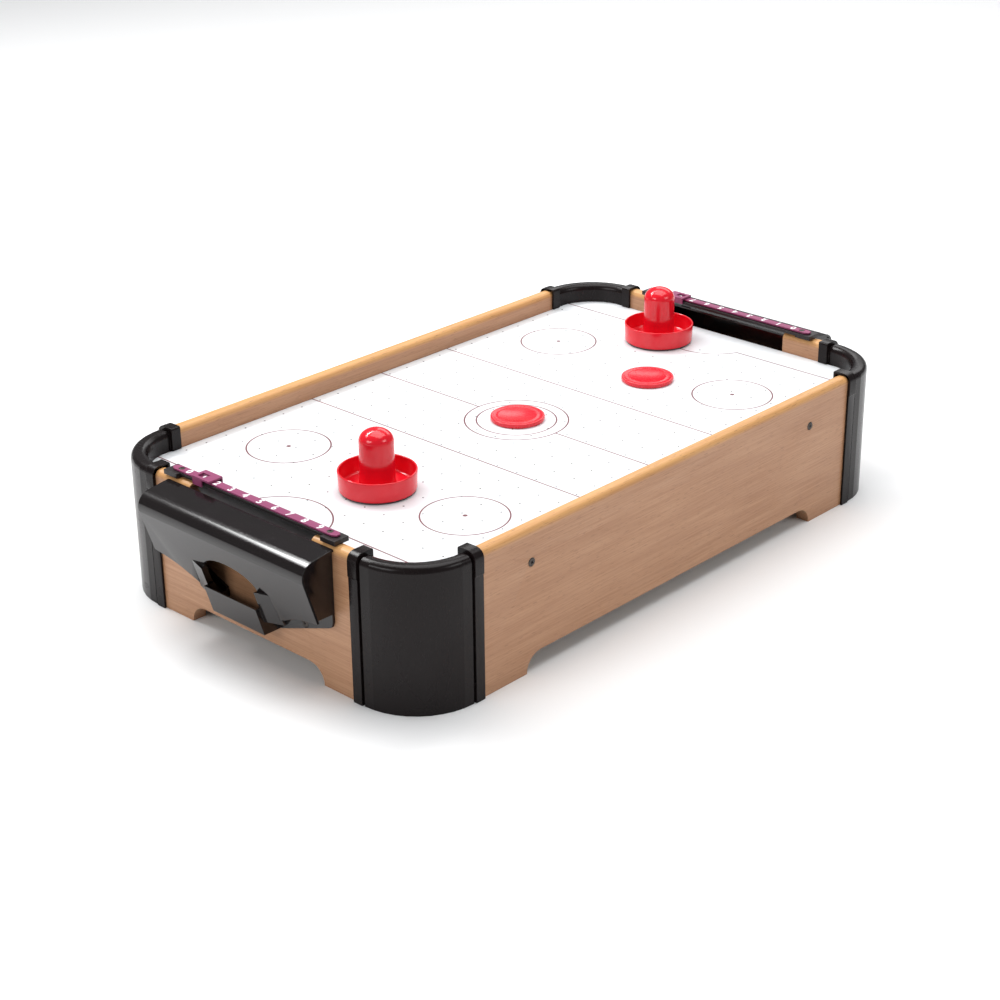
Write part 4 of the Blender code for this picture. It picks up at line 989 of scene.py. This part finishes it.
def add_air_holes():
    values = {
        "Width": (HOLE_COLUMNS - 1) * HOLE_PITCH,
        "Length": (HOLE_ROWS - 1) * HOLE_PITCH,
        "Radius": HOLE_RADIUS,
        "Columns": HOLE_COLUMNS,
        "Rows": HOLE_ROWS,
        "Place": (*HOLE_SHIFT, FIELD_Z + DISC_LIFT),
        "Material": SHADE,
    }
    mesh = grown(bpy.data.meshes.new("seed"), hole_tree(), values)
    add_piece("air_holes", mesh, None, "table")
    print("air holes:", HOLE_COLUMNS * HOLE_ROWS)


add_air_holes()

# %% [markdown]
# All sixteen screws share one head: a low dome over a countersunk cone, with a cross recess.
# The head is made once, at a radius of 1, and the cross is cut from it by a Boolean with two
# tapering bars, as a punch would press it.

# %% Screw head
HEAD_STEPS = 40
DOME_RADIUS = 0.94
DOME_FOOT = 0.02
DOME_RISE = 0.10
CONE = ((1.0, 0.0), (1.0, -0.04), (0.5, -0.52), (0.5, -1.6), (0, -1.6))
DRIVER_DEPTH = 0.42
RECESS_TOP = 0.5
RECESS_ARM = 0.16
RECESS_BOTTOM_SPAN = 0.55
RECESS_TOP_SPAN = 1.2


def cross_cutter():
    """Two crossed tapering bars, for a head of radius 1."""
    shape = bmesh.new()
    for turn in (0, math.pi / 2):
        made = bmesh.ops.create_cube(shape, size=1.0)["verts"]
        for vert in made:
            bottom = vert.co.z < 0
            vert.co.x *= RECESS_BOTTOM_SPAN if bottom else RECESS_TOP_SPAN
            vert.co.y *= RECESS_ARM if bottom else 2 * RECESS_ARM
            vert.co.z = -DRIVER_DEPTH if bottom else RECESS_TOP
        bmesh.ops.rotate(shape, verts=made, cent=(0, 0, 0), matrix=Matrix.Rotation(turn, 3, "Z"))
    mesh = bpy.data.meshes.new("cross")
    shape.to_mesh(mesh)
    shape.free()
    return mesh


def screw_head():
    """A countersunk screw of head radius 1, its rim at z = 0, its dome a little above."""
    dome = arc((0, DOME_FOOT), (DOME_RADIUS, DOME_RISE), 90, 0, 6)
    dome[0] = (0, DOME_FOOT + DOME_RISE)
    head = turned([*dome, *CONE], (0, 0, 0), HEAD_STEPS)
    cutter = bpy.data.objects.new("cross", cross_cutter())
    bpy.context.scene.collection.objects.link(cutter)
    recess = {"operation": "DIFFERENCE", "solver": "EXACT", "use_self": True, "object": cutter}
    cut = baked(head, ("BOOLEAN", recess))
    bpy.data.objects.remove(cutter)
    cut.shade_smooth()
    cut.set_sharp_from_angle(angle=math.radians(SMOOTH_UNDER))
    return cut


HEAD_MESH = screw_head()
print("screw head faces:", len(HEAD_MESH.polygons))

# %% [markdown]
# A tree puts the head on one point for each screw. The point holds three values: which way the
# screw faces, its head's radius, and how far its cross has turned, since no two screws stop at
# the same turn. Place and radius are read from the working model's own screws.

# %% Screws in their places
TURN_BETWEEN_SCREWS = 1.1


def stored(tree, name, kind="FLOAT"):
    """The output of a value that the points hold."""
    node = tree_node(tree, "GeometryNodeInputNamedAttribute", {"data_type": kind}, Name=name)
    return node.outputs["Attribute"]


def screw_tree():
    sockets = (("Head", "NodeSocketObject"), ("Material", "NodeSocketMaterial"))
    tree, inputs, out = new_tree("screws", *sockets)
    given = {socket.name: socket for socket in inputs.outputs}
    head = tree_node(tree, "GeometryNodeObjectInfo", Object=given["Head"])
    facing = stored(tree, "facing", "FLOAT_VECTOR")
    turn = tree_node(tree, "FunctionNodeAlignRotationToVector", {"axis": "Z"}, Vector=facing)
    own_turn = tree_node(tree, "ShaderNodeCombineXYZ", Z=stored(tree, "spin"))
    spun = tree_node(
        tree,
        "FunctionNodeRotateRotation",
        {"rotation_space": "LOCAL"},
        Rotation=turn.outputs[0],
        Rotate_By=own_turn.outputs[0],
    )
    placed = tree_node(
        tree,
        "GeometryNodeInstanceOnPoints",
        Points=given["Geometry"],
        Instance=head.outputs["Geometry"],
        Rotation=spun.outputs[0],
        Scale=stored(tree, "size"),
    )
    finish_tree(tree, out, placed.outputs[0], given["Material"])
    return tree


def screw_facts(node):
    """Where a screw's rim is, which way it faces, and its head's radius, read from its node."""
    low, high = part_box(node)
    middle = (low + high) / 2
    spans = high - low
    if node.startswith("panel"):
        facing = Vector((1 if middle.x > 0 else -1, 0, 0))
    elif node.startswith("hood"):
        facing = Vector((0, 1 if middle.y > 0 else -1, 0))
    else:
        facing = Vector((0, 0, 1 if node.startswith("strip") else -1))
    axis = max(range(3), key=lambda i: abs(facing[i]))
    radius = min(spans[i] for i in range(3) if i != axis) / 2
    place = middle + facing * (spans[axis] / 2)
    return place, facing, radius


def add_screws():
    nodes = [node for node in NODES if "_screw_" in node]
    facts = [screw_facts(node) for node in nodes]
    mesh = bpy.data.meshes.new("points")
    mesh.from_pydata([place for place, facing, radius in facts], [], [])
    mesh.attributes.new("facing", "FLOAT_VECTOR", "POINT")
    mesh.attributes.new("size", "FLOAT", "POINT")
    mesh.attributes.new("spin", "FLOAT", "POINT")
    for i, (place, facing, radius) in enumerate(facts):
        mesh.attributes["facing"].data[i].vector = facing
        mesh.attributes["size"].data[i].value = radius
        mesh.attributes["spin"].data[i].value = TURN_BETWEEN_SCREWS * i
    head = bpy.data.objects.new("head", HEAD_MESH)
    bpy.context.scene.collection.objects.link(head)
    result = grown(mesh, screw_tree(), {"Head": head, "Material": BLACK_STEEL})
    bpy.data.objects.remove(head)
    add_piece("screws_finished", result, None, "table", *nodes)
    print("screws:", len(nodes), " faces:", len(result.polygons))


add_screws()

# %% [markdown]
# The score strips carry white digits from 0 to 9, printed to be read from their own end, so
# the far set is turned half a turn. Text objects give the shapes. Each is made a thin solid
# and then a mesh, and one strip's digits are joined into one piece.

# %% Score digits
FIRST_DIGIT_X = -67.2 * MM
DIGIT_PITCH = 14.3 * MM
DIGIT_HEIGHT = 5.8 * MM
DIGIT_RELIEF = 0.06 * MM
DIGIT_WEIGHT = 0.24 * MM
TEXT_SIZE = 1.4 * DIGIT_HEIGHT
FIGURES = range(10)


def digit_mesh(figure):
    """One digit, centred on its own middle and scaled to the printed height."""
    text = bpy.data.curves.new("digit", "FONT")
    text.body = str(figure)
    text.size = TEXT_SIZE
    text.extrude = DIGIT_RELIEF
    text.offset = DIGIT_WEIGHT
    text.resolution_u = 6
    holder = bpy.data.objects.new("digit", text)
    bpy.context.scene.collection.objects.link(holder)
    graph = bpy.context.evaluated_depsgraph_get()
    mesh = bpy.data.meshes.new_from_object(holder.evaluated_get(graph))
    bpy.data.objects.remove(holder)
    xs = [vert.co.x for vert in mesh.vertices]
    ys = [vert.co.y for vert in mesh.vertices]
    centred = Matrix.Translation((-(max(xs) + min(xs)) / 2, -(max(ys) + min(ys)) / 2, 0))
    mesh.transform(Matrix.Scale(DIGIT_HEIGHT / (max(ys) - min(ys)), 4) @ centred)
    return mesh


def add_digits(end, turn):
    low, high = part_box(f"score_strip_{end}")
    row_y = (low.y + high.y) / 2
    shape = bmesh.new()
    for figure in FIGURES:
        mesh = digit_mesh(figure)
        x = (FIRST_DIGIT_X + DIGIT_PITCH * figure) * math.cos(turn)
        mesh.transform(Matrix.Translation((x, row_y, high.z)) @ Matrix.Rotation(turn, 4, "Z"))
        shape.from_mesh(mesh)
    bmesh.ops.remove_doubles(shape, verts=shape.verts, dist=MERGE / 4)
    mesh = bpy.data.meshes.new("digits")
    shape.to_mesh(mesh)
    shape.free()
    piece = add_piece(f"score_digits_{end}", mesh, DIGIT_WHITE, "table")
    print(piece.name, "faces:", len(mesh.polygons))


add_digits("near", 0.0)
add_digits("far", math.pi)

# %% [markdown]
# Under the base board the blower's motor is a rolled steel can with rounded ends, a groove
# pressed round it near one end, a bushing on top and a thin shaft. It is one turned outline.

# %% Blower motor
BUSHING = ((4.0 * MM, -0.6 * MM), (3.6 * MM, 0), (1.0 * MM, 0))
CAN_BELOW_TIP = 14 * MM
CAN_ROUND = 1 * MM
GROOVE_DEPTH = 0.3 * MM
MOTOR_STEPS = 64


def add_motor():
    low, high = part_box("fan_motor")
    radius = (high.x - low.x) / 2
    centre = ((low.x + high.x) / 2, (low.y + high.y) / 2, 0)
    can_top = high.z - CAN_BELOW_TIP
    bend = (CAN_ROUND, CAN_ROUND)
    profile = [(0, low.z), (3.0 * MM, low.z), (3.4 * MM, low.z + 0.5 * MM)]
    profile += [(radius - 1.2 * MM, low.z + 0.5 * MM)]
    profile += arc((radius - CAN_ROUND, low.z + CAN_ROUND), bend, -90, 0, 5)
    profile += [(radius, low.z + 5 * MM), (radius - GROOVE_DEPTH, low.z + 5.2 * MM)]
    profile += [(radius - GROOVE_DEPTH, low.z + 5.9 * MM), (radius, low.z + 6.1 * MM)]
    profile += arc((radius - CAN_ROUND, can_top - 1.6 * MM), bend, 0, 90, 5)
    profile += [(x, can_top + z) for x, z in BUSHING]
    profile += [(1.0 * MM, high.z - 0.3 * MM), (0.7 * MM, high.z), (0, high.z)]
    mesh = turned(profile, centre, MOTOR_STEPS)
    add_piece("fan_motor_finished", mesh, PLATED_STEEL, "table", "fan_motor")


add_motor()
print("motor made")

# %% [markdown]
# A cell is a sleeve drawn tight over a steel can, with a raised cap at one end. It is turned
# upright and then laid along the table, facing whichever way its working model faces.

# %% Cells
CELL_STEPS = 40
CAP_RADIUS = 2.75 * MM
CAP_EDGE = 0.3 * MM
CAP_RISE = 1.4 * MM
CAP_PIT = 1.75 * MM


def add_cell(node):
    """A cell along Y. Its raised cap is at the end where the node is narrow."""
    low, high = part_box(node)
    radius = (high.x - low.x) / 2
    half = (high.y - low.y) / 2
    verts = NODES[node].data.vertices
    tip = [v.co.x for v in verts if v.co.y > high.y - 0.1 * MM]
    flip = 1 if max(tip) - min(tip) < radius else -1
    profile = [(0, -half), (radius - 1.5 * MM, -half), (radius - 1.1 * MM, -half + 0.25 * MM)]
    profile += arc((radius - 0.6 * MM, -half + 0.6 * MM), (0.6 * MM, 0.6 * MM), -90, 0, 4)
    profile += arc((radius - 0.7 * MM, half - 2.2 * MM), (0.7 * MM, 0.7 * MM), 0, 90, 4)
    profile += [(radius - 1.9 * MM, half - 1.5 * MM), (radius - 2.1 * MM, half - CAP_PIT)]
    profile += [(3.2 * MM, half - CAP_PIT), (CAP_RADIUS, half - CAP_RISE)]
    profile += arc((CAP_RADIUS - CAP_EDGE, half - CAP_EDGE), (CAP_EDGE, CAP_EDGE), 0, 90, 3)
    profile += [(0, half)]
    mesh = turned(profile, (0, 0, 0), CELL_STEPS)
    middle = (low + high) / 2
    turn = Matrix.Rotation(-math.pi / 2 * flip, 4, "X")
    mesh.transform(Matrix.Translation(middle) @ turn)
    add_piece(f"{node}_finished", mesh, SLEEVE, "table", node)


CELLS = [node for node in NODES if node in {f"battery_{i}" for i in range(1, 5)}]
for node in CELLS:
    add_cell(node)
print("cells:", len(CELLS))

# %% [markdown]
# The wires are clipped between the battery box, the switch and the blower. Their route is the
# working model's own, and its flat-sided tubes are rounded by subdividing them twice.

# %% Wires
ROUNDING_LEVELS = 2


def add_wire(node):
    rounding = ("SUBSURF", {"levels": ROUNDING_LEVELS, "render_levels": ROUNDING_LEVELS})
    mesh = baked(merged_copy(node), rounding)
    mesh.shade_smooth()
    add_piece(f"{node}_finished", mesh, WIRE_SKIN, "table", node)


WIRES = [node for node in NODES if node.startswith("wire_")]
for node in WIRES:
    add_wire(node)
print("wires:", len(WIRES))
